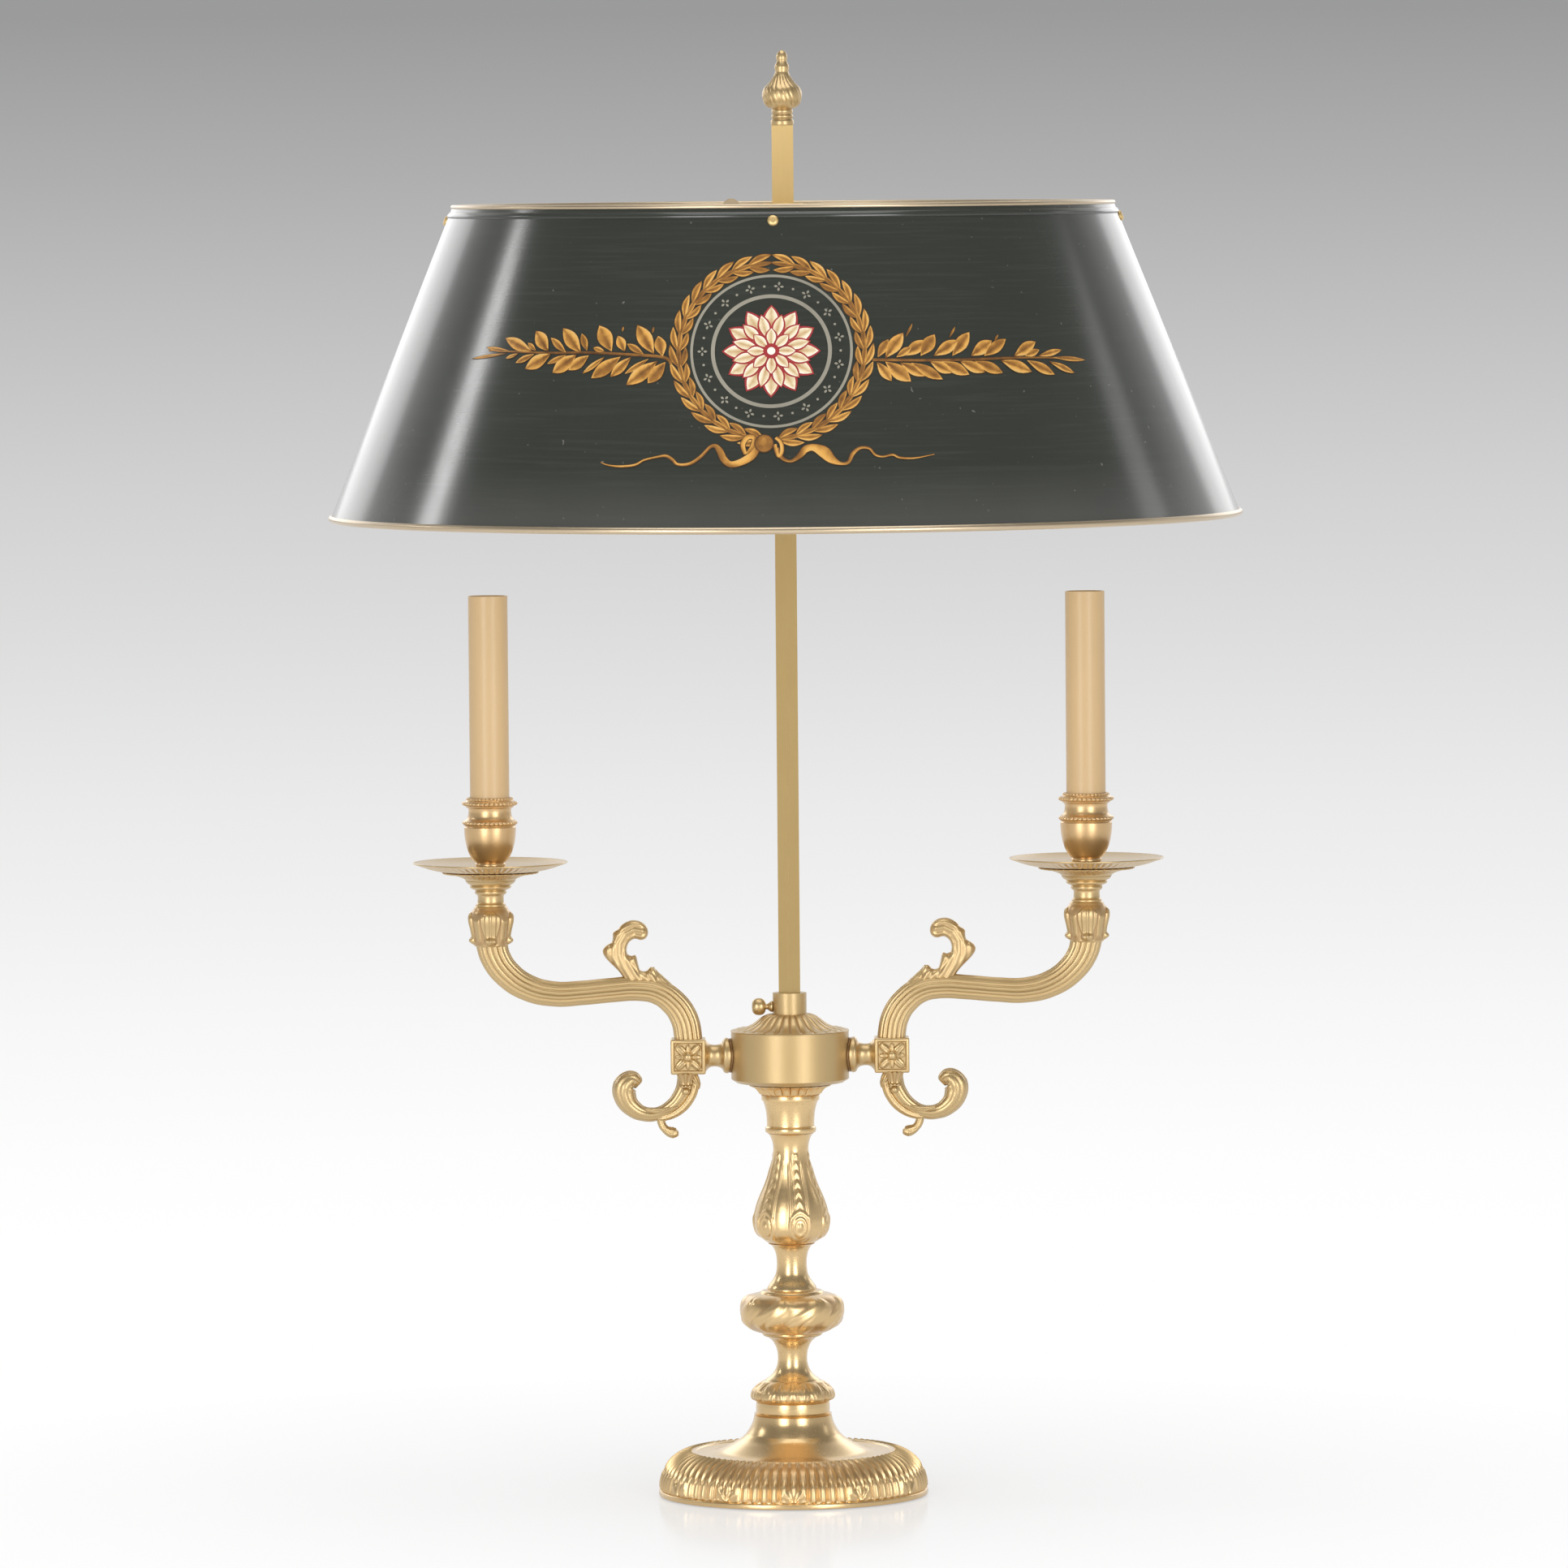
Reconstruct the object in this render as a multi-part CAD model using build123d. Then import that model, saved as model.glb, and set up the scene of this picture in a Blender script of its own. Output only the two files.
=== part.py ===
from build123d import *

import os
from math import atan, cos, degrees, radians, sqrt

# A two-light table lamp: a cast brass stem on a weighted foot, a drum with two fixed arms, and
# a six-sided rod that carries a sliding metal shade. Millimetres; +Z up, the front looks along
# -Y, the origin is on the table under the stem.

# ------------------------------------------------------------------ clearances
SHAFT_FIT = 0.05  # around a screw, stud or spigot in its hole
TUBE_FIT = 0.25  # around a threaded tube in the castings that it passes through
SLIDE_GAP = 0.1  # between each flat of the rod and what slides on it
MOVE_GAP = 0.3  # between a screw's tip and the rod, and between a sleeve and its cup
SHEET_GAP = 0.1  # between flat tabs and the curved sheet that they lie against
TIGHT_GAP = 0.02  # between curved faces that are drawn together

# ------------------------------------------------------------------ foot
FELT_T = 2.0
FELT_PROUD = 0.5  # the felt stands this far below the foot's edge
FELT_MARGIN = 2.0
FOOT_R = 75.5
FOOT_EDGE_H = 3.0
FOOT_RIM_R = 66.6
FOOT_RIM_H = 20.9
FOOT_RIM_BULGE = 3.2
FOOT_STEP_R = 55.5
FOOT_STEP_H = 25.0
FOOT_STEP_W = 2.0
FOOT_PAN_R = 45.0
FOOT_PAN_H = 24.0
FOOT_SHOULDER_R = 27.0
FOOT_SHOULDER_H = 31.8
FOOT_NECK_R = 21.4
FOOT_NECK_HOLLOW = 1.0
FOOT_H = 46.0
FOOT_WALL = 3.5
BALLAST_T = 15.0
BALLAST_MARGIN = 2.0
BALLAST_HUB_R = 14.0

# cord inlet in the foot's back
CORD_R = 3.0
CORD_Z = 8.0
CORD_PLAY = 0.1
GROMMET_WALL = 1.4
GROMMET_FLANGE_W = 1.7
GROMMET_FLANGE_T = 2.0
GROMMET_L = 9.5
GROMMET_SEAT = 3.5  # how deep the flange is let into the foot

# ------------------------------------------------------------------ threaded tubes and nuts
TUBE_R = 5.0
TUBE_BORE_R = 3.4
TIE_NUT_AF = 17.0
TIE_NUT_H = 5.0
TIE_WASHER_R = 10.5
TIE_WASHER_T = 1.2
TIE_END = 1.0  # how far the tie tube stands out of its nuts
RECESS_H = 12.0  # in the ballast, for the lower nut and its washer
RECESS_MARGIN = 1.5
SMALL_NUT_AF = 14.0
SMALL_NUT_H = 4.0

# ------------------------------------------------------------------ stem, from the foot up
BAND_R = 20.5
BAND_H = 6.5
COLLAR_TOP_R = 15.5
COLLAR_H = 18.5
COLLAR_BULGE = 4.2
SPOOL_WAIST_R = 8.3
LOWER_SPOOL_H = 25.5
KNOP_END_R = 16.5
KNOP_R = 29.0
KNOP_H = 25.5
UPPER_SPOOL_R = 14.0
UPPER_SPOOL_H = 26.0
VASE_FOOT_R = 12.0
VASE_SHOULDER_R = 19.5
VASE_SHOULDER_H = 20.0
VASE_BULGE = 5.0
VASE_NECK_R = 10.0
VASE_NECK_H = 50.0
VASE_HOLLOW = 1.2
VASE_LIP_R = 12.5
VASE_H = 62.0
DRUM_CUP_R = 14.0
DRUM_CUP_BAND_H = 13.0
DRUM_CUP_TOP_R = 16.1
DRUM_CUP_HOLLOW = 0.6
DRUM_CUP_H = 21.5
BOSS_TOP_R = 20.0
BOSS_H = 5.5
BOSS_BULGE = 1.0

# ------------------------------------------------------------------ drum and its cover
DRUM_R = 33.0
DRUM_H = 30.0
DRUM_CHIN_R = 30.0
DRUM_CHIN_H = 1.6
DRUM_CHAMFER_H = 2.0
DRUM_WALL = 3.0
DRUM_FLOOR = 4.6
COVER_LIP_H = 0.9
COVER_DOME_R = 31.2
COVER_TOP_R = 11.0
COVER_H = 10.0
COVER_HOLLOW = 1.3
COVER_WALL = 2.6
COVER_SPIGOT_H = 3.0
COVER_SPIGOT_WALL = 3.6

# ------------------------------------------------------------------ rod, collar and finial
ROD_AF = 12.0
ROD_L = 514.7
COLLAR_R = 9.5
ROD_COLLAR_H = 11.8
SPIGOT_R = 8.6
SPIGOT_L = 20.5
SOCKET_FLOOR = 2.0
COLLAR_NUT_AF = 20.0
COLLAR_NUT_H = 5.0
THUMB_SCREW_R = 1.75
THUMB_SCREW_UP = 4.0  # above the collar's seat
THUMB_NECK_L = 4.0
THUMB_KNOB_R = 4.8
THUMB_KNOB_END_R = 2.2
THUMB_KNOB_T = 7.7
STUD_R = 2.5
STUD_IN = 12.0
STUD_OUT = 11.0
FINIAL_RING_R = 6.35
FINIAL_RING_H = 4.0
FINIAL_NECK_R = 5.7
FINIAL_NECK_H = 5.5
FINIAL_R = 10.9
FINIAL_BELLY_H = 7.5
FINIAL_BELLY_BULGE = 1.6
FINIAL_TAPER_H = 12.8
FINIAL_TIP_NECK_R = 3.0
FINIAL_TIP_R = 3.75
FINIAL_TIP_H = 12.0
FINIAL_TIP_END_R = 1.2

# ------------------------------------------------------------------ shade and its carrier
SHADE_BOTTOM_R = 254.3
SHADE_TOP_R = 183.8
SHADE_H = 176.0
SHADE_T = 0.8
SHADE_BELOW_FINIAL = 42.7  # from the shade's top edge up to the rod's end
BOTTOM_BEAD_R = 1.9
TOP_BEAD_R = 1.3
SPIDER_TURN = 1.7  # degrees; the bars stand a little round from the rod's flats
SPIDER_BARS = 4
SHADE_SCREW_DOWN = 9.0  # below the shade's top edge
SHADE_SCREW_R = 1.5
SHADE_HEAD_R = 3.0
SHADE_HEAD_T = 1.8
SHADE_NUT_AF = 5.5
SHADE_NUT_T = 2.4
SCREW_END = 0.8
HUB_R = 11.0
HUB_H = 18.5
BAR_W = 8.0
BAR_T = 3.0
BAR_BELOW_SCREW = 8.5  # from the shade screws down to the bars' underside
BAR_UP = 1.5  # of the bars above the hub's lower end
TAB_T = 2.0
TAB_UP = 4.5
KEY_SCREW_R = 2.5
KEY_SHANK_L = 17.7
KEY_SHOULDER_R = 4.0
KEY_SHOULDER_L = 2.0
KEY_BOW_L = 12.0
KEY_BOW_H = 15.2
KEY_BOW_T = 2.4
KEY_CLEAR = 1.6  # under the bow, as it turns over a bar

# ------------------------------------------------------------------ arms
ARM_UP = 16.7  # centre of the arm flange above the drum's underside
WASHER_R = 10.5
WASHER_T = 1.2
FLANGE_R = 9.75
FLANGE_T = 3.8
NECK_R = 6.6
BOX_W = 19.5
BOX_X = 57.0
BOX_HOLLOW = 13.0
NIPPLE_IN = 23.2
NIPPLE_OUT = 46.0
ARM_R = 7.6
ARM_CREST = 39.1  # height of the S-curve's crest above the box's centre
ARM_FALL = 5.9  # how far the long run falls towards the candle
ARM_BEND_IN = 27.0
ARM_BEND_OUT = 30.0
CANDLE_X = 166.7
ARM_TOP_UP = 65.8  # of the arm's end above the box's centre
SCROLL_R = 4.2
SCROLL_BEND = 16.8
SCROLL_DROP = 16.9  # from the box's centre down to the scroll's own centre
SCROLL_BALL_R = 7.5
PENDANT_R = 3.5
PENDANT_X = 11.0  # from the box's centre
SCROLL_LEAD = 10.0  # of the scroll's stem on the drum's side of the pendant
PENDANT_DROP = 41.0
LEAF_T = 7.0
LEAF_H = 39.0  # above the crest of the arm's own line
LEAF_L = 31.0
LEAF_X = 14.5  # of the leaf's heel from the box's centre
LEAF_SHAPE = [  # its outline, in shares of its length and its height
    (0.0, 0.0),
    (0.2, 0.26),
    (0.6, 0.42),
    (0.5, 0.66),
    (0.24, 0.72),
    (0.3, 0.9),
    (0.6, 1.0),
    (0.86, 0.8),
    (1.0, 0.5),
    (0.86, 0.0),
]

# ------------------------------------------------------------------ candle group
POST_IN = 8.0
POST_TOP_UP = 135.0  # of the post's top above the arm's end
CALYX_R = 12.0
CALYX_LEAF_H = 13.0
CALYX_NECK_R = 7.3
CALYX_NECK_Z = 20.5
CALYX_NECK_H = 5.5
CALYX_TOP_R = 13.9
CALYX_H = 33.5
CALYX_HOLLOW = 1.0
SAUCER_R = 26.5
SAUCER_EDGE_Z = 4.0
SAUCER_H = 5.0
DISH_R = 43.2
DISH_UNDER_R = 14.0
DISH_EDGE_Z = 4.5
DISH_EDGE_T = 1.0
DISH_SEAT_R = 10.0
DISH_T = 2.6
DISH_SAG = 0.7  # of the dished faces of saucer and drip dish
CUP_FOOT_R = 8.0
CUP_FOOT_H = 2.0
CUP_BOWL_R = 14.4
CUP_BOWL_H = 21.0
CUP_BOWL_BULGE = 1.6
CUP_RING_R = 14.9
CUP_RING_H = 3.9
CUP_WAIST_R = 11.8
CUP_WAIST_H = 7.6
CUP_RIM_R = 15.4
CUP_RIM_H = 4.4
SLEEVE_R = 11.0
SLEEVE_WALL = 1.0
SLEEVE_L = 117.2
SOCKET_R = 8.6
SOCKET_H = 60.0
SOCKET_SEAT = 8.0
SOCKET_BORE_H = 30.0
SOCKET_FLOOR_T = 4.0
SHELL_R = 7.1
SHELL_BORE_R = 6.0
SHELL_L = 26.0
CONTACT_R = 3.0
CONTACT_T = 1.2

# ------------------------------------------------------------------ wires
WIRE_R = 1.2
WIRE_PITCH = 2.8  # between the two wires in the stem
WIRE_BEND = 4.5
ARM_WIRE_R = 1.6
CONNECTOR_R = 3.0
CONNECTOR_L = 12.0
CONNECTOR_X = 10.5
CHANNEL_W = 8.0
CHANNEL_H = 7.0


# ------------------------------------------------------------------ helpers
def turned(outline, bore=0.0):
    """Turn (radius, height) points about Z; a third value bulges the side that ends there."""
    points = [(bore, outline[0][1]), *outline, (bore, outline[-1][1])]
    sides = []
    for start, end in zip(points, points[1:] + points[:1]):
        if abs(start[0] - end[0]) + abs(start[1] - end[1]) < 1e-6:
            continue
        bulge = end[2] if len(end) > 2 else 0.0
        if bulge:
            sides.append(SagittaArc(start[:2], end[:2], -bulge))
        else:
            sides.append(Line(start[:2], end[:2]))
    return revolve(Plane.XZ * make_face(sides), Axis.Z)


def ring(radius, bore, height):
    """A plain ring or tube that stands on Z = 0."""
    return turned([(radius, 0.0), (radius, height)], bore)


def nut(across_flats, bore, height):
    """A plain hexagon nut that stands on Z = 0."""
    blank = extrude(RegularPolygon(across_flats / sqrt(3), 6), height)
    return blank - ring(bore, 0.0, height)


def hexagon_bar(across_flats, length):
    """A bar on Z with two of its six flats facing +X and -X."""
    return extrude(RegularPolygon(across_flats / sqrt(3), 6, rotation=30), length)


def pipe(route, radius):
    """A round bar along a route."""
    start = Plane(origin=route @ 0, z_dir=route % 0)
    return sweep(start * Circle(radius), path=route)


def hollow(outer, inner):
    """What is left of a solid when another is cut out."""
    return outer - inner


def both_sides(piece):
    """The piece on the right and its mirror image on the left, as two solids."""
    return Compound(children=[*piece.solids(), *mirror(piece, about=Plane.YZ).solids()])


pieces = {}

# ------------------------------------------------------------------ heights of the stack
foot_z = FELT_PROUD
collar_z = FOOT_H
lower_spool_z = collar_z + COLLAR_H
knop_z = lower_spool_z + LOWER_SPOOL_H
upper_spool_z = knop_z + KNOP_H
vase_z = upper_spool_z + UPPER_SPOOL_H
drum_cup_z = vase_z + VASE_H
boss_z = drum_cup_z + DRUM_CUP_H
drum_z = boss_z + BOSS_H
cover_z = drum_z + DRUM_H
rod_collar_z = cover_z + COVER_H
spigot_z = rod_collar_z - SPIGOT_L
rod_z = spigot_z + SOCKET_FLOOR
rod_top_z = rod_z + ROD_L
tube_hole_r = TUBE_R + TUBE_FIT
nut_bore_r = TUBE_R + SHAFT_FIT

# ------------------------------------------------------------------ foot and ballast
foot_h = collar_z - foot_z
ceiling_z = foot_z + FOOT_SHOULDER_H - FOOT_WALL
foot = turned(
    [
        (FOOT_R, 0.0),
        (FOOT_R, FOOT_EDGE_H),
        (FOOT_RIM_R, FOOT_RIM_H, FOOT_RIM_BULGE),
        (FOOT_STEP_R, FOOT_STEP_H),
        (FOOT_STEP_R - FOOT_STEP_W, FOOT_PAN_H),
        (FOOT_PAN_R, FOOT_PAN_H),
        (FOOT_SHOULDER_R, FOOT_SHOULDER_H, -FOOT_NECK_HOLLOW),
        (FOOT_NECK_R, foot_h, -FOOT_NECK_HOLLOW),
    ],
    tube_hole_r,
)
cavity_rim_r = FOOT_RIM_R - FOOT_WALL
cavity = turned(
    [
        (FOOT_R - FOOT_WALL, 0.0),
        (cavity_rim_r, FOOT_RIM_H - FOOT_WALL),
        (FOOT_PAN_R - FOOT_WALL, FOOT_PAN_H - FOOT_WALL),
        (FOOT_NECK_R - FOOT_WALL, ceiling_z - foot_z),
    ]
)
foot = Pos(0, 0, foot_z) * hollow(foot, cavity)

# the grommet's hole and the seat of its flange, cut in from the back
grommet_r = CORD_R + CORD_PLAY + GROMMET_WALL
seat_y = FOOT_R - GROMMET_SEAT
to_back = Pos(0, seat_y, CORD_Z) * Rot(-90, 0, 0)
foot -= to_back * Pos(0, 0, -2 * GROMMET_L) * ring(grommet_r + SHAFT_FIT, 0.0, 3 * GROMMET_L)
foot -= to_back * ring(grommet_r + GROMMET_FLANGE_W + SHAFT_FIT, 0.0, 2 * GROMMET_L)
pieces["foot"] = foot

grommet_bush_l = GROMMET_L - GROMMET_FLANGE_T
grommet = Pos(0, 0, -grommet_bush_l) * ring(grommet_r, CORD_R + CORD_PLAY, GROMMET_L)
grommet += ring(grommet_r + GROMMET_FLANGE_W, CORD_R + CORD_PLAY, GROMMET_FLANGE_T)
pieces["cord_grommet"] = to_back * grommet

pieces["foot_felt"] = ring(FOOT_R - FOOT_WALL - FELT_MARGIN, 0.0, FELT_T)

ballast_r = cavity_rim_r - BALLAST_MARGIN
ballast = Pos(0, 0, FELT_T) * turned(
    [
        (ballast_r, 0.0),
        (ballast_r, BALLAST_T),
        (BALLAST_HUB_R, BALLAST_T),
        (BALLAST_HUB_R, ceiling_z - FELT_T),
    ],
    tube_hole_r,
)
recess_r = max(TIE_WASHER_R, TIE_NUT_AF / sqrt(3)) + RECESS_MARGIN
ballast -= Pos(0, 0, FELT_T) * ring(recess_r, 0.0, RECESS_H)
channel = Box(CHANNEL_W, FOOT_R, CHANNEL_H, align=(Align.CENTER, Align.MIN, Align.MIN))
pieces["foot_ballast"] = ballast - Pos(0, 0, FELT_T) * channel

# ------------------------------------------------------------------ tie tube, nuts and washer
washer_z = FELT_T + RECESS_H - TIE_WASHER_T
lower_nut_z = washer_z - TIE_NUT_H
upper_nut_z = drum_z + DRUM_FLOOR
tube_z = lower_nut_z - TIE_END
tube_top_z = upper_nut_z + TIE_NUT_H + TIE_END
tie_nut = nut(TIE_NUT_AF, nut_bore_r, TIE_NUT_H)
pieces["tie_tube"] = Pos(0, 0, tube_z) * ring(TUBE_R, TUBE_BORE_R, tube_top_z - tube_z)
pieces["tie_washer"] = Pos(0, 0, washer_z) * ring(TIE_WASHER_R, tube_hole_r, TIE_WASHER_T)
pieces["tie_nuts"] = Compound(
    children=[Pos(0, 0, lower_nut_z) * tie_nut, Pos(0, 0, upper_nut_z) * tie_nut]
)

# ------------------------------------------------------------------ stem castings
stem_outlines = {
    "stem_collar": (
        collar_z,
        [(BAND_R, 0.0), (BAND_R, BAND_H), (COLLAR_TOP_R, COLLAR_H, COLLAR_BULGE)],
    ),
    "lower_spool": (
        lower_spool_z,
        [(COLLAR_TOP_R, 0.0), (COLLAR_TOP_R, LOWER_SPOOL_H, SPOOL_WAIST_R - COLLAR_TOP_R)],
    ),
    "knop": (
        knop_z,
        [(KNOP_END_R, 0.0), (KNOP_END_R, KNOP_H, KNOP_R - KNOP_END_R)],
    ),
    "upper_spool": (
        upper_spool_z,
        [(UPPER_SPOOL_R, 0.0), (UPPER_SPOOL_R, UPPER_SPOOL_H, SPOOL_WAIST_R - UPPER_SPOOL_R)],
    ),
    "vase": (
        vase_z,
        [
            (VASE_FOOT_R, 0.0),
            (VASE_SHOULDER_R, VASE_SHOULDER_H, VASE_BULGE),
            (VASE_NECK_R, VASE_NECK_H, -VASE_HOLLOW),
            (VASE_LIP_R, VASE_H, -VASE_HOLLOW),
        ],
    ),
    "drum_cup": (
        drum_cup_z,
        [
            (DRUM_CUP_R, 0.0),
            (DRUM_CUP_R, DRUM_CUP_BAND_H),
            (DRUM_CUP_TOP_R, DRUM_CUP_H, -DRUM_CUP_HOLLOW),
        ],
    ),
    "drum_boss": (
        boss_z,
        [(DRUM_CUP_TOP_R, 0.0), (BOSS_TOP_R, BOSS_H, BOSS_BULGE)],
    ),
}
for name, (bottom_z, outline) in stem_outlines.items():
    pieces[name] = Pos(0, 0, bottom_z) * turned(outline, tube_hole_r)

# ------------------------------------------------------------------ drum, cover and rod collar
arm_z = drum_z + ARM_UP
drum = turned(
    [
        (BOSS_TOP_R, 0.0),
        (DRUM_CHIN_R, DRUM_CHIN_H),
        (DRUM_R, DRUM_CHIN_H + DRUM_CHAMFER_H),
        (DRUM_R, DRUM_H),
    ],
    tube_hole_r,
)
drum_bore_r = DRUM_R - DRUM_WALL
drum -= Pos(0, 0, DRUM_FLOOR) * ring(drum_bore_r, 0.0, DRUM_H)
cross_hole = Rot(0, 90, 0) * Pos(0, 0, -DRUM_R) * ring(tube_hole_r, 0.0, 2 * DRUM_R)
pieces["drum"] = Pos(0, 0, drum_z) * (drum - Pos(0, 0, ARM_UP) * cross_hole)

spigot_hole_r = SPIGOT_R + SHAFT_FIT
cover = turned(
    [
        (drum_bore_r - SHAFT_FIT, -COVER_SPIGOT_H),
        (drum_bore_r - SHAFT_FIT, 0.0),
        (DRUM_R, 0.0),
        (DRUM_R, COVER_LIP_H),
        (COVER_DOME_R, COVER_LIP_H),
        (COVER_TOP_R, COVER_H, -COVER_HOLLOW),
    ],
    spigot_hole_r,
)
cover_ceiling = COVER_H - COVER_WALL
cover_cavity_r = drum_bore_r - COVER_SPIGOT_WALL
cover_cavity = turned(
    [
        (cover_cavity_r, -COVER_SPIGOT_H),
        (cover_cavity_r, -COVER_SPIGOT_H / 2),
        (COVER_TOP_R + COVER_HOLLOW, cover_ceiling),
    ]
)
pieces["drum_cover"] = Pos(0, 0, cover_z) * hollow(cover, cover_cavity)

socket_af = ROD_AF + 2 * SLIDE_GAP
rod_collar = turned(
    [
        (SPIGOT_R, -SPIGOT_L),
        (SPIGOT_R, 0.0),
        (COLLAR_R, 0.0),
        (COLLAR_R, ROD_COLLAR_H),
    ]
)
rod_socket = hexagon_bar(socket_af, SPIGOT_L + ROD_COLLAR_H)
rod_collar -= Pos(0, 0, SOCKET_FLOOR - SPIGOT_L) * rod_socket
to_left = Rot(0, -90, 0)
thumb_hole = to_left * ring(THUMB_SCREW_R + SHAFT_FIT, 0.0, 2 * COLLAR_R)
rod_collar -= Pos(0, 0, THUMB_SCREW_UP) * thumb_hole
pieces["rod_collar"] = Pos(0, 0, rod_collar_z) * rod_collar
collar_nut_z = cover_z + cover_ceiling - COLLAR_NUT_H
pieces["collar_nut"] = Pos(0, 0, collar_nut_z) * nut(COLLAR_NUT_AF, spigot_hole_r, COLLAR_NUT_H)

# thumb screw in the collar's left side
screw_tip = ROD_AF / 2 + MOVE_GAP
thumb_shank_l = COLLAR_R - screw_tip + THUMB_NECK_L
thumb_knob_bulge = THUMB_KNOB_R - THUMB_KNOB_END_R
thumb_screw = ring(THUMB_SCREW_R, 0.0, thumb_shank_l)
thumb_screw += Pos(0, 0, thumb_shank_l) * turned(
    [(THUMB_KNOB_END_R, 0.0), (THUMB_KNOB_END_R, THUMB_KNOB_T, thumb_knob_bulge)]
)
thumb_place = Pos(0, 0, rod_collar_z + THUMB_SCREW_UP) * to_left * Pos(0, 0, screw_tip)
pieces["rod_clamp_screw"] = thumb_place * thumb_screw

# ------------------------------------------------------------------ rod and finial
stud_hole_r = STUD_R + SHAFT_FIT
rod = hexagon_bar(ROD_AF, ROD_L) - Pos(0, 0, ROD_L - STUD_IN) * ring(stud_hole_r, 0.0, STUD_IN)
pieces["rod"] = Pos(0, 0, rod_z) * rod
belly_z = FINIAL_NECK_H + FINIAL_RING_H
shoulder_z = belly_z + FINIAL_BELLY_H
taper_z = shoulder_z + FINIAL_TAPER_H
finial = turned(
    [
        (FINIAL_RING_R, 0.0),
        (FINIAL_RING_R, FINIAL_RING_H),
        (FINIAL_NECK_R, FINIAL_RING_H),
        (FINIAL_NECK_R, belly_z),
        (FINIAL_R, shoulder_z, FINIAL_BELLY_BULGE),
        (FINIAL_TIP_NECK_R, taper_z, FINIAL_BELLY_BULGE),
        (FINIAL_TIP_R, taper_z + FINIAL_TIP_R),
        (FINIAL_TIP_END_R, taper_z + FINIAL_TIP_H, FINIAL_TIP_END_R),
    ]
)
finial -= ring(stud_hole_r, 0.0, STUD_OUT)
pieces["finial"] = Pos(0, 0, rod_top_z) * finial
stud = ring(STUD_R, 0.0, STUD_IN + STUD_OUT)
pieces["finial_stud"] = Pos(0, 0, rod_top_z - STUD_IN) * stud

# ------------------------------------------------------------------ shade
shade_top_z = rod_top_z - SHADE_BELOW_FINIAL
shade_z = shade_top_z - SHADE_H
slope = (SHADE_BOTTOM_R - SHADE_TOP_R) / SHADE_H
sheet_w = SHADE_T * sqrt(1 + slope**2)  # the sheet's thickness, measured level
tilt = degrees(atan(slope))


def cone_r(z):
    """Radius of the shade's outer face at a height."""
    return SHADE_TOP_R + slope * (shade_top_z - z)


def sheet_section(low, high, grow=0.0):
    """Section of the shade's sheet between two heights, made thicker by grow each way."""
    inside = sheet_w + grow
    corners = [
        (cone_r(low) - inside, low),
        (cone_r(low) + grow, low),
        (cone_r(high) + grow, high),
        (cone_r(high) - inside, high),
    ]
    return make_face(Polyline(*corners, close=True))


def bead(z, radius):
    """A rolled rim at a height, with a groove that the sheet's edge stands in."""
    groove = sheet_section(bottom_edge_z - SHAFT_FIT, top_edge_z + SHAFT_FIT, SHAFT_FIT)
    section = Pos(cone_r(z) - sheet_w / 2, z) * Circle(radius) - groove
    return revolve(Plane.XZ * section, Axis.Z)


bottom_edge_z = shade_z + BOTTOM_BEAD_R
top_edge_z = shade_top_z - TOP_BEAD_R
shell = revolve(Plane.XZ * sheet_section(bottom_edge_z, top_edge_z), Axis.Z)
pieces["shade_bottom_rim"] = bead(bottom_edge_z, BOTTOM_BEAD_R)
pieces["shade_top_rim"] = bead(top_edge_z, TOP_BEAD_R)

# screw places: Z along the sheet's outward normal, X down the sheet
screw_z = shade_top_z - SHADE_SCREW_DOWN
bar_angles = [SPIDER_TURN + n * 360 / SPIDER_BARS for n in range(SPIDER_BARS)]
screw_places = [
    Rot(0, 0, -angle) * Pos(cone_r(screw_z), 0, screw_z) * Rot(0, 90 - tilt, 0)
    for angle in bar_angles
]
shade_hole = Pos(0, 0, -2 * SHADE_T) * ring(SHADE_SCREW_R + SHAFT_FIT, 0.0, 4 * SHADE_T)
for place in screw_places:
    shell -= place * shade_hole
pieces["shade_shell"] = shell

tab_top = -SHADE_T - SHEET_GAP
nut_top = tab_top - TAB_T
shank_l = SHADE_NUT_T + SCREW_END - nut_top
shade_screw = Pos(0, 0, TIGHT_GAP) * turned(
    [
        (SHADE_HEAD_R, 0.0),
        (SHADE_HEAD_R, SHADE_HEAD_T / 3),
        (SHADE_SCREW_R, SHADE_HEAD_T, SHADE_HEAD_T / 6),
    ]
)
shade_screw += Pos(0, 0, -shank_l) * ring(SHADE_SCREW_R, 0.0, shank_l + 2 * TIGHT_GAP)
shade_nut = nut(SHADE_NUT_AF, SHADE_SCREW_R + SHAFT_FIT, SHADE_NUT_T)
shade_nut = Pos(0, 0, nut_top - SHADE_NUT_T) * shade_nut
pieces["shade_screws"] = Compound(children=[place * shade_screw for place in screw_places])
pieces["shade_nuts"] = Compound(children=[place * shade_nut for place in screw_places])

# spider: a hub on the rod, a bar to each screw, and a tab that lies against the sheet
bar_z = screw_z - BAR_BELOW_SCREW
hub_z = bar_z - BAR_UP
bar_end = cone_r(bar_z + BAR_T) - (SHADE_T + SHEET_GAP + TAB_T / 2) / cos(radians(tilt))
tab_down = BAR_BELOW_SCREW / cos(radians(tilt))
bar = Pos(0, 0, bar_z) * Box(bar_end, BAR_W, BAR_T, align=(Align.MIN, Align.CENTER, Align.MIN))
tab = Pos(-TAB_UP, 0, nut_top) * Box(
    TAB_UP + tab_down, BAR_W, TAB_T, align=(Align.MIN, Align.CENTER, Align.MIN)
)
tab -= Pos(0, 0, nut_top) * ring(SHADE_SCREW_R + SHAFT_FIT, 0.0, TAB_T)
spider = Pos(0, 0, hub_z) * ring(HUB_R, 0.0, HUB_H)
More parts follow.
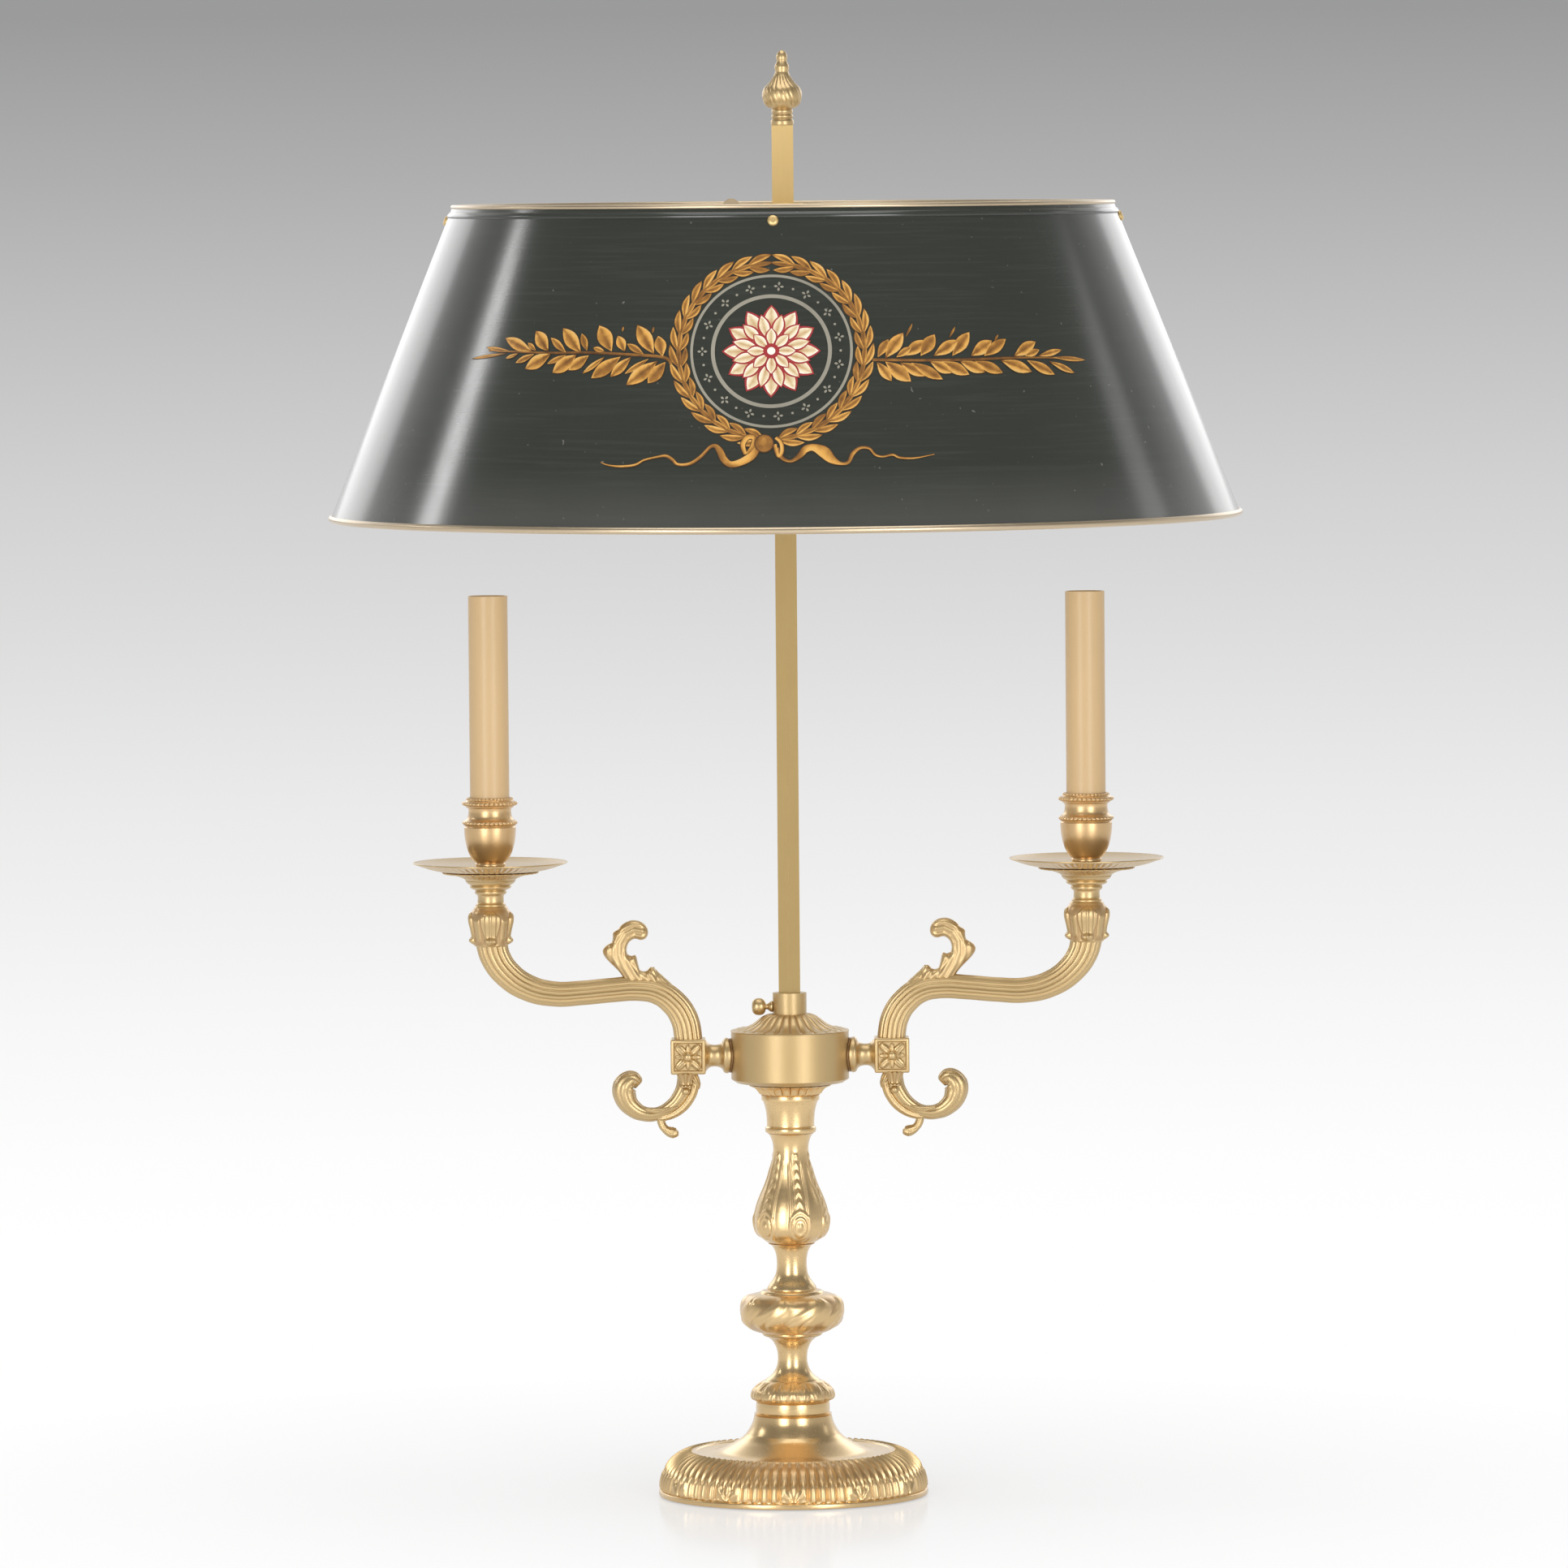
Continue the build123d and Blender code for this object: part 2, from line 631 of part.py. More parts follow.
for angle, place in zip(bar_angles, screw_places):
    spider += Rot(0, 0, -angle) * bar
    spider += place * tab
spider -= Pos(0, 0, hub_z) * hexagon_bar(socket_af, HUB_H)
key_z = bar_z + BAR_T + KEY_CLEAR + KEY_BOW_H / 2
spider -= Pos(0, 0, key_z) * to_left * ring(KEY_SCREW_R + SHAFT_FIT, 0.0, 2 * HUB_R)
pieces["shade_spider"] = spider

key_screw = ring(KEY_SCREW_R, 0.0, KEY_SHANK_L)
key_screw += Pos(0, 0, KEY_SHANK_L - KEY_SHOULDER_L) * ring(KEY_SHOULDER_R, 0.0, KEY_SHOULDER_L)
bow = extrude(Ellipse(KEY_BOW_H / 2, KEY_BOW_L / 2), KEY_BOW_T / 2, both=True)
bow -= extrude(Ellipse(KEY_BOW_H / 4, KEY_BOW_L / 4), KEY_BOW_T, both=True)
key_screw += Pos(0, 0, KEY_SHANK_L + KEY_BOW_L / 2 - KEY_BOW_T / 2) * Rot(90, 0, 0) * bow
key_place = Pos(0, 0, key_z) * to_left * Pos(0, 0, screw_tip)
pieces["shade_clamp_screw"] = key_place * key_screw

# ------------------------------------------------------------------ arms
to_right = Rot(0, 90, 0)
arm_top_z = arm_z + ARM_TOP_UP
flange_x = DRUM_R + WASHER_T
neck_x = flange_x + FLANGE_T


def tube_route(start_x, end_z):
    """The route up from the drum through the box and the S-curve to the candle."""
    return FilletPolyline(
        (start_x, 0, arm_z),
        (BOX_X, 0, arm_z),
        (BOX_X, 0, arm_z + ARM_CREST),
        (CANDLE_X, 0, arm_z + ARM_CREST - ARM_FALL),
        (CANDLE_X, 0, end_z),
        radius=[BOX_HOLLOW / 2, ARM_BEND_IN, ARM_BEND_OUT],
    )


def arm_route():
    """The S-curve of the arm's own tube, from the box's centre."""
    return FilletPolyline(
        (BOX_X, 0, arm_z),
        (BOX_X, 0, arm_z + ARM_CREST),
        (CANDLE_X, 0, arm_z + ARM_CREST - ARM_FALL),
        (CANDLE_X, 0, arm_top_z),
        radius=[ARM_BEND_IN, ARM_BEND_OUT],
    )


arm = pipe(arm_route(), ARM_R)
arm += Pos(flange_x, 0, arm_z) * to_right * ring(FLANGE_R, 0.0, FLANGE_T)
arm += Pos(neck_x, 0, arm_z) * to_right * ring(NECK_R, 0.0, BOX_X - neck_x)
arm += Pos(BOX_X, 0, arm_z) * Box(BOX_W, BOX_W, BOX_W)

# scroll that hangs from the box, with its ball end and pendant
scroll_z = arm_z - SCROLL_DROP
scroll_x = BOX_X + PENDANT_X - SCROLL_LEAD
ball_x = scroll_x + 2 * SCROLL_BEND
scroll = Wire(
    [
        Line((scroll_x, 0, arm_z), (scroll_x, 0, scroll_z)),
        ThreePointArc(
            (scroll_x, 0, scroll_z),
            (scroll_x + SCROLL_BEND, 0, scroll_z - SCROLL_BEND),
            (ball_x, 0, scroll_z),
        ),
    ]
)
arm += pipe(scroll, SCROLL_R)
arm += Pos(ball_x, 0, scroll_z) * Sphere(SCROLL_BALL_R)
pendant_z = arm_z - PENDANT_DROP
pendant_neck_h = PENDANT_DROP - SCROLL_DROP - SCROLL_BEND / 2
arm += Pos(BOX_X + PENDANT_X, 0, pendant_z) * Sphere(PENDANT_R)
arm += Pos(BOX_X + PENDANT_X, 0, pendant_z) * ring(PENDANT_R / 2, 0.0, pendant_neck_h)

# leaf that stands on the arm's crest
leaf_x = BOX_X + LEAF_X
leaf_z = arm_z + ARM_CREST
leaf_outline = [(leaf_x + LEAF_L * along, leaf_z + LEAF_H * up) for along, up in LEAF_SHAPE]
leaf_face = Plane.XZ * make_face(Polyline(*leaf_outline, close=True))
arm += extrude(leaf_face, LEAF_T / 2, both=True)

# what the wire and the threaded tubes pass through
arm -= pipe(arm_route(), TUBE_BORE_R)
arm -= Pos(BOX_X, 0, arm_z) * Box(BOX_HOLLOW, BOX_HOLLOW, BOX_HOLLOW)
nipple_seat_l = NIPPLE_OUT - flange_x
arm -= Pos(flange_x, 0, arm_z) * to_right * ring(nut_bore_r, 0.0, nipple_seat_l)
arm -= Pos(NIPPLE_OUT, 0, arm_z) * to_right * ring(TUBE_BORE_R, 0.0, BOX_X - NIPPLE_OUT)
arm -= Pos(CANDLE_X, 0, arm_top_z - POST_IN) * ring(nut_bore_r, 0.0, 2 * POST_IN)

nipple_place = Pos(NIPPLE_IN, 0, arm_z) * to_right
nipple = nipple_place * ring(TUBE_R, TUBE_BORE_R, NIPPLE_OUT - NIPPLE_IN)
nipple_nut = nut(SMALL_NUT_AF, nut_bore_r, SMALL_NUT_H)
nipple_nut = nipple_place * Pos(0, 0, TIE_END) * nipple_nut

# washer with one face hollowed to the drum's side
washer_start = DRUM_R - DRUM_WALL
washer = Pos(washer_start, 0, arm_z) * to_right * ring(
    WASHER_R, tube_hole_r, flange_x - washer_start
)
washer -= Pos(0, 0, drum_z) * ring(DRUM_R + TIGHT_GAP, 0.0, DRUM_H)

pieces["arm_nipples"] = both_sides(nipple)
pieces["arm_nuts"] = both_sides(nipple_nut)
pieces["arm_washers"] = both_sides(washer)

# ------------------------------------------------------------------ candle group, right side
calyx = turned(
    [
        (CALYX_R, 0.0),
        (CALYX_R, CALYX_LEAF_H, -CALYX_HOLLOW),
        (CALYX_NECK_R, CALYX_NECK_Z, CALYX_HOLLOW),
        (CALYX_NECK_R, CALYX_NECK_Z + CALYX_NECK_H),
        (CALYX_TOP_R, CALYX_H, -CALYX_HOLLOW),
    ],
    tube_hole_r,
)
saucer_z = arm_top_z + CALYX_H
saucer = turned(
    [
        (CALYX_TOP_R, 0.0),
        (SAUCER_R, SAUCER_EDGE_Z, -DISH_SAG),
        (SAUCER_R, SAUCER_H),
    ],
    tube_hole_r,
)
dish_z = saucer_z + SAUCER_H
dish = turned(
    [
        (DISH_UNDER_R, 0.0),
        (DISH_R, DISH_EDGE_Z, -DISH_SAG),
        (DISH_R, DISH_EDGE_Z + DISH_EDGE_T),
        (DISH_SEAT_R, DISH_T, DISH_SAG),
    ],
    tube_hole_r,
)
cup_z = dish_z + DISH_T
bowl_z = CUP_FOOT_H + CUP_BOWL_H
ring_z = bowl_z + CUP_RING_H
waist_z = ring_z + CUP_WAIST_H
cup_h = waist_z + CUP_RIM_H
cup = turned(
    [
        (CUP_FOOT_R, 0.0),
        (CUP_FOOT_R, CUP_FOOT_H),
        (CUP_BOWL_R, bowl_z, CUP_BOWL_BULGE),
        (CUP_RING_R, bowl_z),
        (CUP_RING_R, ring_z),
        (CUP_WAIST_R, ring_z),
        (CUP_WAIST_R, waist_z),
        (CUP_RIM_R, waist_z),
        (CUP_RIM_R, cup_h),
    ],
    tube_hole_r,
)
sleeve_z = cup_z + waist_z
cup -= Pos(0, 0, waist_z) * ring(SLEEVE_R + MOVE_GAP, 0.0, CUP_RIM_H)
sleeve = ring(SLEEVE_R, SLEEVE_R - SLEEVE_WALL, SLEEVE_L)

post_z = arm_top_z - POST_IN
post_top_z = arm_top_z + POST_TOP_UP
post = ring(TUBE_R, TUBE_BORE_R, post_top_z - post_z)
post_nut = nut(SMALL_NUT_AF, nut_bore_r, SMALL_NUT_H)

# lamp socket: a moulded body screwed on the post, a screw shell and a contact
socket_z = post_top_z - SOCKET_SEAT
socket_bore_z = SOCKET_H - SOCKET_BORE_H
wire_end_z = socket_z + socket_bore_z - SOCKET_FLOOR_T
socket_body = ring(SOCKET_R, 0.0, SOCKET_H)
socket_body -= ring(nut_bore_r, 0.0, SOCKET_SEAT)
socket_body -= ring(TUBE_BORE_R, 0.0, socket_bore_z - SOCKET_FLOOR_T)
socket_body -= Pos(0, 0, socket_bore_z) * ring(SHELL_R + SHAFT_FIT, 0.0, SOCKET_BORE_H)
contact_down = CONTACT_T + SHAFT_FIT  # the contact is let into the socket's floor
contact_seat = ring(CONTACT_R + SHAFT_FIT, 0.0, contact_down)
socket_body -= Pos(0, 0, socket_bore_z - contact_down) * contact_seat
shell_z = socket_z + socket_bore_z
socket_shell = ring(SHELL_R, SHELL_BORE_R, SHELL_L)
contact = ring(CONTACT_R, 0.0, CONTACT_T)

candle_pieces = {
    "calyx": (arm_top_z, calyx),
    "saucer": (saucer_z, saucer),
    "drip_dish": (dish_z, dish),
    "candle_cup": (cup_z, cup),
    "candle_sleeve": (sleeve_z, sleeve),
    "socket_body": (socket_z, socket_body),
    "socket_shell": (shell_z, socket_shell),
}
for name, (bottom_z, piece) in candle_pieces.items():
    pieces[name + "_right"] = Pos(CANDLE_X, 0, bottom_z) * piece
    pieces[name + "_left"] = Pos(-CANDLE_X, 0, bottom_z) * piece
pieces["arm_right"] = arm
pieces["arm_left"] = mirror(arm, about=Plane.YZ)
pieces["candle_posts"] = both_sides(Pos(CANDLE_X, 0, post_z) * post)
pieces["post_nuts"] = both_sides(Pos(CANDLE_X, 0, sleeve_z) * post_nut)
pieces["socket_contacts"] = both_sides(Pos(CANDLE_X, 0, shell_z - contact_down) * contact)

# ------------------------------------------------------------------ wires
connector = Pos(CONNECTOR_X, 0, arm_z) * to_right * ring(CONNECTOR_R, 0.0, CONNECTOR_L)
pieces["wire_connectors"] = both_sides(connector)
arm_wire = pipe(tube_route(CONNECTOR_X + CONNECTOR_L, wire_end_z), ARM_WIRE_R)
pieces["arm_wires"] = both_sides(arm_wire)

# stem wires: in from the grommet, up the tie tube, and out to the connectors
wire_low_z = FELT_T + 2 * WIRE_R
wire_x = WIRE_PITCH / 2
stem_route = FilletPolyline(
    (wire_x, seat_y - grommet_bush_l - TIE_END, wire_low_z),
    (wire_x, 0, wire_low_z),
    (wire_x, 0, arm_z),
    (CONNECTOR_X, 0, arm_z),
    radius=[WIRE_BEND, WIRE_BEND],
)
pieces["stem_wires"] = both_sides(pipe(stem_route, WIRE_R))

# ------------------------------------------------------------------ files
os.makedirs("parts", exist_ok=True)
for name, piece in pieces.items():
    export_step(piece, f"parts/{name}.step")
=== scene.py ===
from math import atan, cos, hypot, pi, radians, sin, tau

import bpy
import numpy as np
from bpy.props import FloatProperty, FloatVectorProperty, IntProperty, PointerProperty
from bpy.types import Operator, Panel, PropertyGroup
from mathutils import Matrix, Vector


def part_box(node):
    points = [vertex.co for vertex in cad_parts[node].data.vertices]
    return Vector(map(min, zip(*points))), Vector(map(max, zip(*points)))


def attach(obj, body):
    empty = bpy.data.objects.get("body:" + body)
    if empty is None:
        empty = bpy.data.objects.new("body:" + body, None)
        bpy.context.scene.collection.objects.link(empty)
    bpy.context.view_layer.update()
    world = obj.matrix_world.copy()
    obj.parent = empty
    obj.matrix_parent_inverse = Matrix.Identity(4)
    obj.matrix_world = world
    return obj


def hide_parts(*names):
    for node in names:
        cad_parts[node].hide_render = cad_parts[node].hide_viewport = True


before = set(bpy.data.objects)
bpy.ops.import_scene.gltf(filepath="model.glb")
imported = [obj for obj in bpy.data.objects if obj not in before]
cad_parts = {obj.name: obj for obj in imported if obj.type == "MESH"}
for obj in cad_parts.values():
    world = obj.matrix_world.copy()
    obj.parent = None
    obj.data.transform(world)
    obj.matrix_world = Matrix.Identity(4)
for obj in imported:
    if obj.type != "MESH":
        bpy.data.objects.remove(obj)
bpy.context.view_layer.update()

bl_info = {
    "name": "Two-light table lamp",
    "version": (1, 0, 0),
    "blender": (4, 5, 0),
    "location": "3D View > Sidebar > Lamp",
    "description": "Carved brass, painted shade and finishes for the table lamp's CAD frame",
    "category": "Object",
}

MM = 0.001
SAME_POINT = 0.01 * MM  # points nearer than this are one
WORKED_DEPTH = 0.02  # mm of relief from which a surface counts as carved
VOXEL = 0.45 * MM  # grain of the leaf that is cast from a flat outline
CORE = 5.4  # mm, radius of the flat disc in both ends of a form that a tube or post threads
SIDES = ((1, "right"), (-1, "left"))


# ------------------------------------------------------------------ sizes and colours
def length(name, description, default):
    """A size in metres that the panel shows with its unit."""
    return FloatProperty(name=name, description=description, default=default, unit="LENGTH", precision=5)


def colour(name, description, default):
    """A colour that the panel shows as a swatch."""
    return FloatVectorProperty(
        name=name, description=description, default=default, subtype="COLOR", size=3, min=0, max=1
    )


class LampSizes(PropertyGroup):
    """Counts and depths of the lamp's ornament."""

    foot_flutes: IntProperty(name="Foot flutes", description="Flutes round the foot", default=84)
    flute_depth: length("Flute depth", "Depth of the foot's flutes", 0.0012)
    carving_depth: length("Carving depth", "Depth of the stem's carving", 0.0009)
    cover_flutes: IntProperty(name="Cover flutes", description="Flutes on the drum's cover", default=26)
    arm_reeds: IntProperty(name="Arm reeds", description="Reeds round each arm", default=14)
    reed_depth: FloatProperty(
        name="Reed depth",
        description="Depth of the reeds as a share of the arm",
        default=0.1,
        subtype="FACTOR",
    )
    cup_beads: IntProperty(name="Cup beads", description="Beads round each candle cup's rims", default=34)
    wreath_bunches: IntProperty(
        name="Wreath leaves", description="Bunches of leaves on each side of the wreath", default=16
    )
    paint_lift: length("Paint lift", "How far the painting stands off the shade", 0.00015)


class LampColours(PropertyGroup):
    """Colours of the lamp's finishes."""

    stem_brass: colour("Stem brass", "Polished brass of foot and stem", (0.87, 0.635, 0.33))
    arm_brass: colour("Arm brass", "Satin brass of the arms", (0.66, 0.485, 0.245))
    drum_brass: colour("Drum brass", "Brushed brass of drum and collar", (0.62, 0.45, 0.215))
    rod_brass: colour("Rod brass", "Drawn brass of the rod", (0.60, 0.43, 0.18))
    cup_brass: colour("Cup brass", "Spun brass of the candle cups", (0.74, 0.51, 0.26))
    # darker brass for the carving's recesses: partly patina, partly painted shade
    recess_patina_and_shade: colour("Recess brass", "Toned brass in the carving's recesses", (0.58, 0.36, 0.17))
    gilt: colour("Gilt", "Gilding of the shade's rims", (0.65, 0.53, 0.37))
    shade_green: colour("Shade green", "Dark paint outside the shade", (0.026, 0.029, 0.023))
    shade_cream: colour("Shade cream", "Pale paint inside the shade", (0.78, 0.74, 0.64))
    sleeve_cream: colour("Sleeve cream", "Candle sleeves", (0.69, 0.48, 0.25))
    leaf_gold: colour("Leaf gold", "Light side of the painted leaves", (0.72, 0.37, 0.075))
    leaf_brown: colour("Leaf brown", "Outlines of the painted leaves", (0.10, 0.04, 0.012))
    ring_grey: colour("Ring grey", "The two painted rings", (0.42, 0.39, 0.31))
    rosette_cream: colour("Rosette cream", "Petals of the painted rosette", (0.82, 0.70, 0.48))
    rosette_red: colour("Rosette red", "Red of the painted rosette", (0.42, 0.03, 0.035))


def sizes():
    return bpy.context.scene.lamp_sizes


def colours():
    return bpy.context.scene.lamp_colours


# ------------------------------------------------------------------ modelling helpers
def deselect():
    if bpy.context.object and bpy.context.object.mode != "OBJECT":
        bpy.ops.object.mode_set(mode="OBJECT")
    bpy.ops.object.select_all(action="DESELECT")


def choose(*objects):
    """Select these objects, the first of them active."""
    deselect()
    for obj in objects:
        obj.select_set(True)
    bpy.context.view_layer.objects.active = objects[0]


def settle(obj, place=None, turned=None):
    """Set an object's place and turn, and put them and its scale into its mesh."""
    if place:
        obj.location = place
    if turned:
        obj.rotation_euler = turned
    choose(obj)
    bpy.ops.object.transform_apply(location=True, rotation=True, scale=True)
    return obj


def edit_all(obj):
    """Go into edit mode with the whole mesh selected."""
    choose(obj)
    bpy.ops.object.mode_set(mode="EDIT")
    bpy.ops.mesh.select_all(action="SELECT")


def edit_faces(obj, wanted):
    """Go into edit mode with only the wanted faces selected."""
    choose(obj)
    bpy.ops.object.mode_set(mode="EDIT")
    bpy.ops.mesh.select_all(action="DESELECT")
    leave_edit()
    for face in obj.data.polygons:
        face.select = wanted(face)
    bpy.ops.object.mode_set(mode="EDIT")


def leave_edit():
    """Go back to object mode, which writes the edits into the mesh."""
    bpy.ops.object.mode_set(mode="OBJECT")


def cut_away(obj, wanted):
    """Delete the wanted faces."""
    edit_faces(obj, wanted)
    bpy.ops.mesh.delete(type="FACE")
    leave_edit()


def face_outwards():
    bpy.ops.mesh.select_all(action="SELECT")
    bpy.ops.mesh.normals_make_consistent(inside=False)
    leave_edit()


def mend(obj):
    """Close doubled points and turn all faces outwards."""
    edit_all(obj)
    bpy.ops.mesh.remove_doubles(threshold=SAME_POINT)
    face_outwards()
    return obj


def apply_modifier(obj, kind, **settings):
    bpy.ops.object.modifier_add(type=kind)
    modifier = obj.modifiers[-1]
    for key, value in settings.items():
        setattr(modifier, key, value)
    bpy.ops.object.modifier_apply(modifier=modifier.name)


def join(*objects):
    choose(*objects)
    bpy.ops.object.join()
    return bpy.context.object


def copy(obj):
    """A copy with its own mesh."""
    choose(obj)
    bpy.ops.object.duplicate()
    return bpy.context.object


def mirrored(obj):
    """The mirror image on the lamp's other side."""
    twin = copy(obj)
    twin.scale.x = -1
    settle(twin)
    return mend(twin)


def polish(obj, angle=38):
    """Smooth all but the edges that are sharper than the angle."""
    choose(obj)
    bpy.ops.object.shade_smooth_by_angle(angle=radians(angle))
    return obj


def bend(points, steps):
    """A smooth line through points."""
    ends = [points[0], *points, points[-1]]
    line = []
    for before, start, end, after in zip(ends, ends[1:], ends[2:], ends[3:]):
        for n in range(steps):
            t = n / steps
            line.append(tuple(
                0.5 * (
                    2 * b + (c - a) * t + (2 * a - 5 * b + 4 * c - d) * t**2 + (3 * b - a - 3 * c + d) * t**3
                )
                for a, b, c, d in zip(before, start, end, after)
            ))
    return [*line, points[-1]]


def outline(*runs, steps=4):
    """Smooth runs of points; each goes on from the corner where the one before it ends."""
    line = []
    for run in runs:
        run = [*line[-1:], *run]
        smooth = bend(run, steps) if len(run) > 2 else run
        line += smooth[1:] if line else smooth
    return line


def turn(name, line, segments):
    """Draw a disc out along (radius, height) points in mm, as a turned solid on Z."""
    deselect()
    radius, height = line[0]
    bpy.ops.mesh.primitive_circle_add(
        vertices=segments, radius=radius * MM, fill_type="NGON", location=(0, 0, height * MM)
    )
    obj = settle(bpy.context.object)
    obj.name = name
    edit_all(obj)
    for (r0, z0), (r1, z1) in zip(line, line[1:]):
        bpy.ops.mesh.extrude_region_move(TRANSFORM_OT_translate={"value": (0, 0, (z1 - z0) * MM)})
        bpy.ops.transform.resize(value=(r1 / r0, r1 / r0, 1))
    face_outwards()
    return obj


def points_of(obj):
    places = np.empty(len(obj.data.vertices) * 3)
    obj.data.vertices.foreach_get("co", places)
    return places.reshape(-1, 3)


def move_points(obj, places):
    obj.data.vertices.foreach_set("co", places.ravel())


def keep_on_points(mesh, name, values):
    """Keep a number on each point, for the finish."""
    layer = mesh.attributes.new(name, "FLOAT", "POINT")
    layer.data.foreach_set("value", np.asarray(values, np.float32))


def carve(obj, depth):
    """Move each point out by depth(turn, height, radius) in mm, and note for the finish how deep it lies."""
    places = points_of(obj)
    normals = np.empty(len(places) * 3)
    obj.data.vertices.foreach_get("normal", normals)
    normals = normals.reshape(-1, 3)
    turns = np.arctan2(places[:, 0], -places[:, 1])
    radii = np.hypot(places[:, 0], places[:, 1]) / MM
    moves = depth(turns, places[:, 2] / MM, radii)
    places += normals * (moves * MM)[:, None]
    move_points(obj, places)
    recess = 0.5 - 0.5 * moves / np.where(moves < 0, max(-moves.min(), 1e-6), max(moves.max(), 1e-6))
    keep_on_points(obj.data, "recess", recess)
    keep_on_points(obj.data, "worked", np.abs(moves) > WORKED_DEPTH)
    obj.data.update()
    return obj


def lobes(turns, count, shift=0.0):
    """Where each point lies across its lobe, from -1 to 1."""
    return 2 * ((turns * count / tau + shift) % 1.0) - 1


def band(values, low, high, soft):
    """1 between low and high, falling to 0 over soft on each side."""
    rise = np.clip((values - low) / soft, 0, 1)
    fall = np.clip((high - values) / soft, 0, 1)
    both = np.minimum(rise, fall)
    return both * both * (3 - 2 * both)


def hill(distance, width):
    """A rounded hill of height 1 that ends at width."""
    near = np.clip(1 - (distance / width) ** 2, 0, 1)
    return near * near


def dome(across):
    """A half round across a lobe, 1 in its middle and 0 at its sides."""
    return np.sqrt(np.clip(1 - across**2, 0, 1))


def far_from(points, line):
    """How far each flat point lies from a line through points."""
    best = np.full(len(points), 1e9)
    for start, end in zip(line, line[1:]):
        start, run = np.array(start[:2]), np.array(end[:2]) - np.array(start[:2])
        along = np.clip((points - start) @ run / max(run @ run, 1e-9), 0, 1)
        best = np.minimum(best, np.hypot(*(points - start - along[:, None] * run).T))
    return best


def cast_leaf(name, rim, spine, full, swell, rib, rib_gap):
    """A leaf in the plane of the arm: a rim of (x, z) points in mm, swollen, and ribbed along its spine."""
    rim = bend([*rim, rim[0]], 3)[:-1]
    half, thin = 4.0, 0.7
    deselect()
    bpy.ops.mesh.primitive_circle_add(vertices=len(rim), radius=MM, fill_type="NGON")
    leaf = bpy.context.object
    leaf.name = name
    places = np.array([(x, -half, z) for x, z in rim]) * MM
    move_points(leaf, places)
    edit_all(leaf)
    bpy.ops.mesh.extrude_region_move(TRANSFORM_OT_translate={"value": (0, 2 * half * MM, 0)})
    face_outwards()
    apply_modifier(leaf, "REMESH", mode="VOXEL", voxel_size=VOXEL)
    places = points_of(leaf)
    flat = places[:, [0, 2]] / MM
    inside = far_from(flat, [*rim, rim[0]])
    rise = 1 - np.clip(inside / swell, 0, 1)
    thick = thin + (full - thin) * dome(rise)
    side = np.clip(places[:, 1] / MM / half, -1, 1)
    on_face = np.abs(side) > 0.85
    ribs = np.cos(far_from(flat, spine) * tau / rib_gap)
    places[:, 1] = (side * thick + np.sign(side) * rib * ribs * on_face * np.clip(inside / 1.2, 0, 1)) * MM
    move_points(leaf, places)
    leaf.data.update()
    # how deep each point lies between the ribs, which the finish darkens as patina and painted shade
    keep_on_points(leaf.data, "recess", np.clip(0.45 - 0.45 * ribs, 0, 1) * on_face)
    apply_modifier(leaf, "SMOOTH", factor=0.5, iterations=2)
    return leaf


def section(count, groove, each=8):
    """A closed curve to sweep: a circle with reeds round it, one millimetre in radius."""
    deselect()
    bpy.ops.mesh.primitive_circle_add(vertices=count * each, radius=MM)
    ring = bpy.context.object
    places = points_of(ring)
    angles = np.arctan2(places[:, 1], places[:, 0])
    swell = 1 - groove * (1 - np.abs(np.cos(angles * count / 2)))
    places *= swell[:, None]
    move_points(ring, places)
    bpy.ops.object.convert(target="CURVE")
    return bpy.context.object


def sweep(name, points, shape, steps):
    """Sweep a section along (x, y, z, radius) points in mm."""
    deselect()
    bpy.ops.curve.primitive_bezier_curve_add()
    line = bpy.context.object
    line.name = name
    spline = line.data.splines[0]
    spline.bezier_points.add(len(points) - 2)
    for knot, (x, y, z, radius) in zip(spline.bezier_points, points):
        knot.co = (x * MM, y * MM, z * MM)
        knot.handle_left_type = "AUTO"
        knot.handle_right_type = "AUTO"
        knot.radius = radius
    line.data.resolution_u = steps
    line.data.twist_mode = "MINIMUM"
    line.data.bevel_mode = "OBJECT"
    line.data.bevel_object = shape
    line.data.use_fill_caps = True
    choose(line)
    bpy.ops.object.convert(target="MESH")
    return mend(bpy.context.object)


def drop(*objects):
    """Remove helpers that aren't part of the lamp."""
    for obj in objects:
        bpy.data.objects.remove(obj)


def finish_piece(obj, name, body, slot, finish, *nodes):
    """Name a piece, give it its finish, and let it ride and stand for its CAD nodes."""
    obj.name = name
    obj.data.name = name
    obj.data.materials.clear()
    obj.data.materials.append(finish)
    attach(obj, body)
    if nodes:
        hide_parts(*nodes)
    return obj


def casting(name, line, segments, look, depth=None, body="lamp"):
    """Turn a casting, carve it where it has a depth, and let it stand for the CAD node of its name."""
    form = turn(f"{name}_form", line, segments)
    if depth:
        carve(form, depth)
    return finish_piece(polish(form), f"{name}_form", body, "cast_brass", finish(look), name)


def saddle(obj, reach=1.0):
    """Bend what lies within reach of the lamp's axis, in metres, to fit round the drum."""
    places = points_of(obj)
    drum_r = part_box("drum")[1].x
    hollow = np.sqrt(drum_r**2 - places[:, 1] ** 2) - drum_r
    places[:, 0] += np.where(places[:, 0] < reach, hollow, 0)
    move_points(obj, places)
    return obj


# ------------------------------------------------------------------ finishes
ROD_PAINTED_LIGHT_Z = (0.695, 0.72)  # heights between which the rod's colour turns lighter, a painted highlight where the shade casts no shadow on it
SHADE_LOW_REFLECTION_Z = (0.584, 0.556)  # heights between which the shade's paint turns lighter, a painted reflection near its lower rim


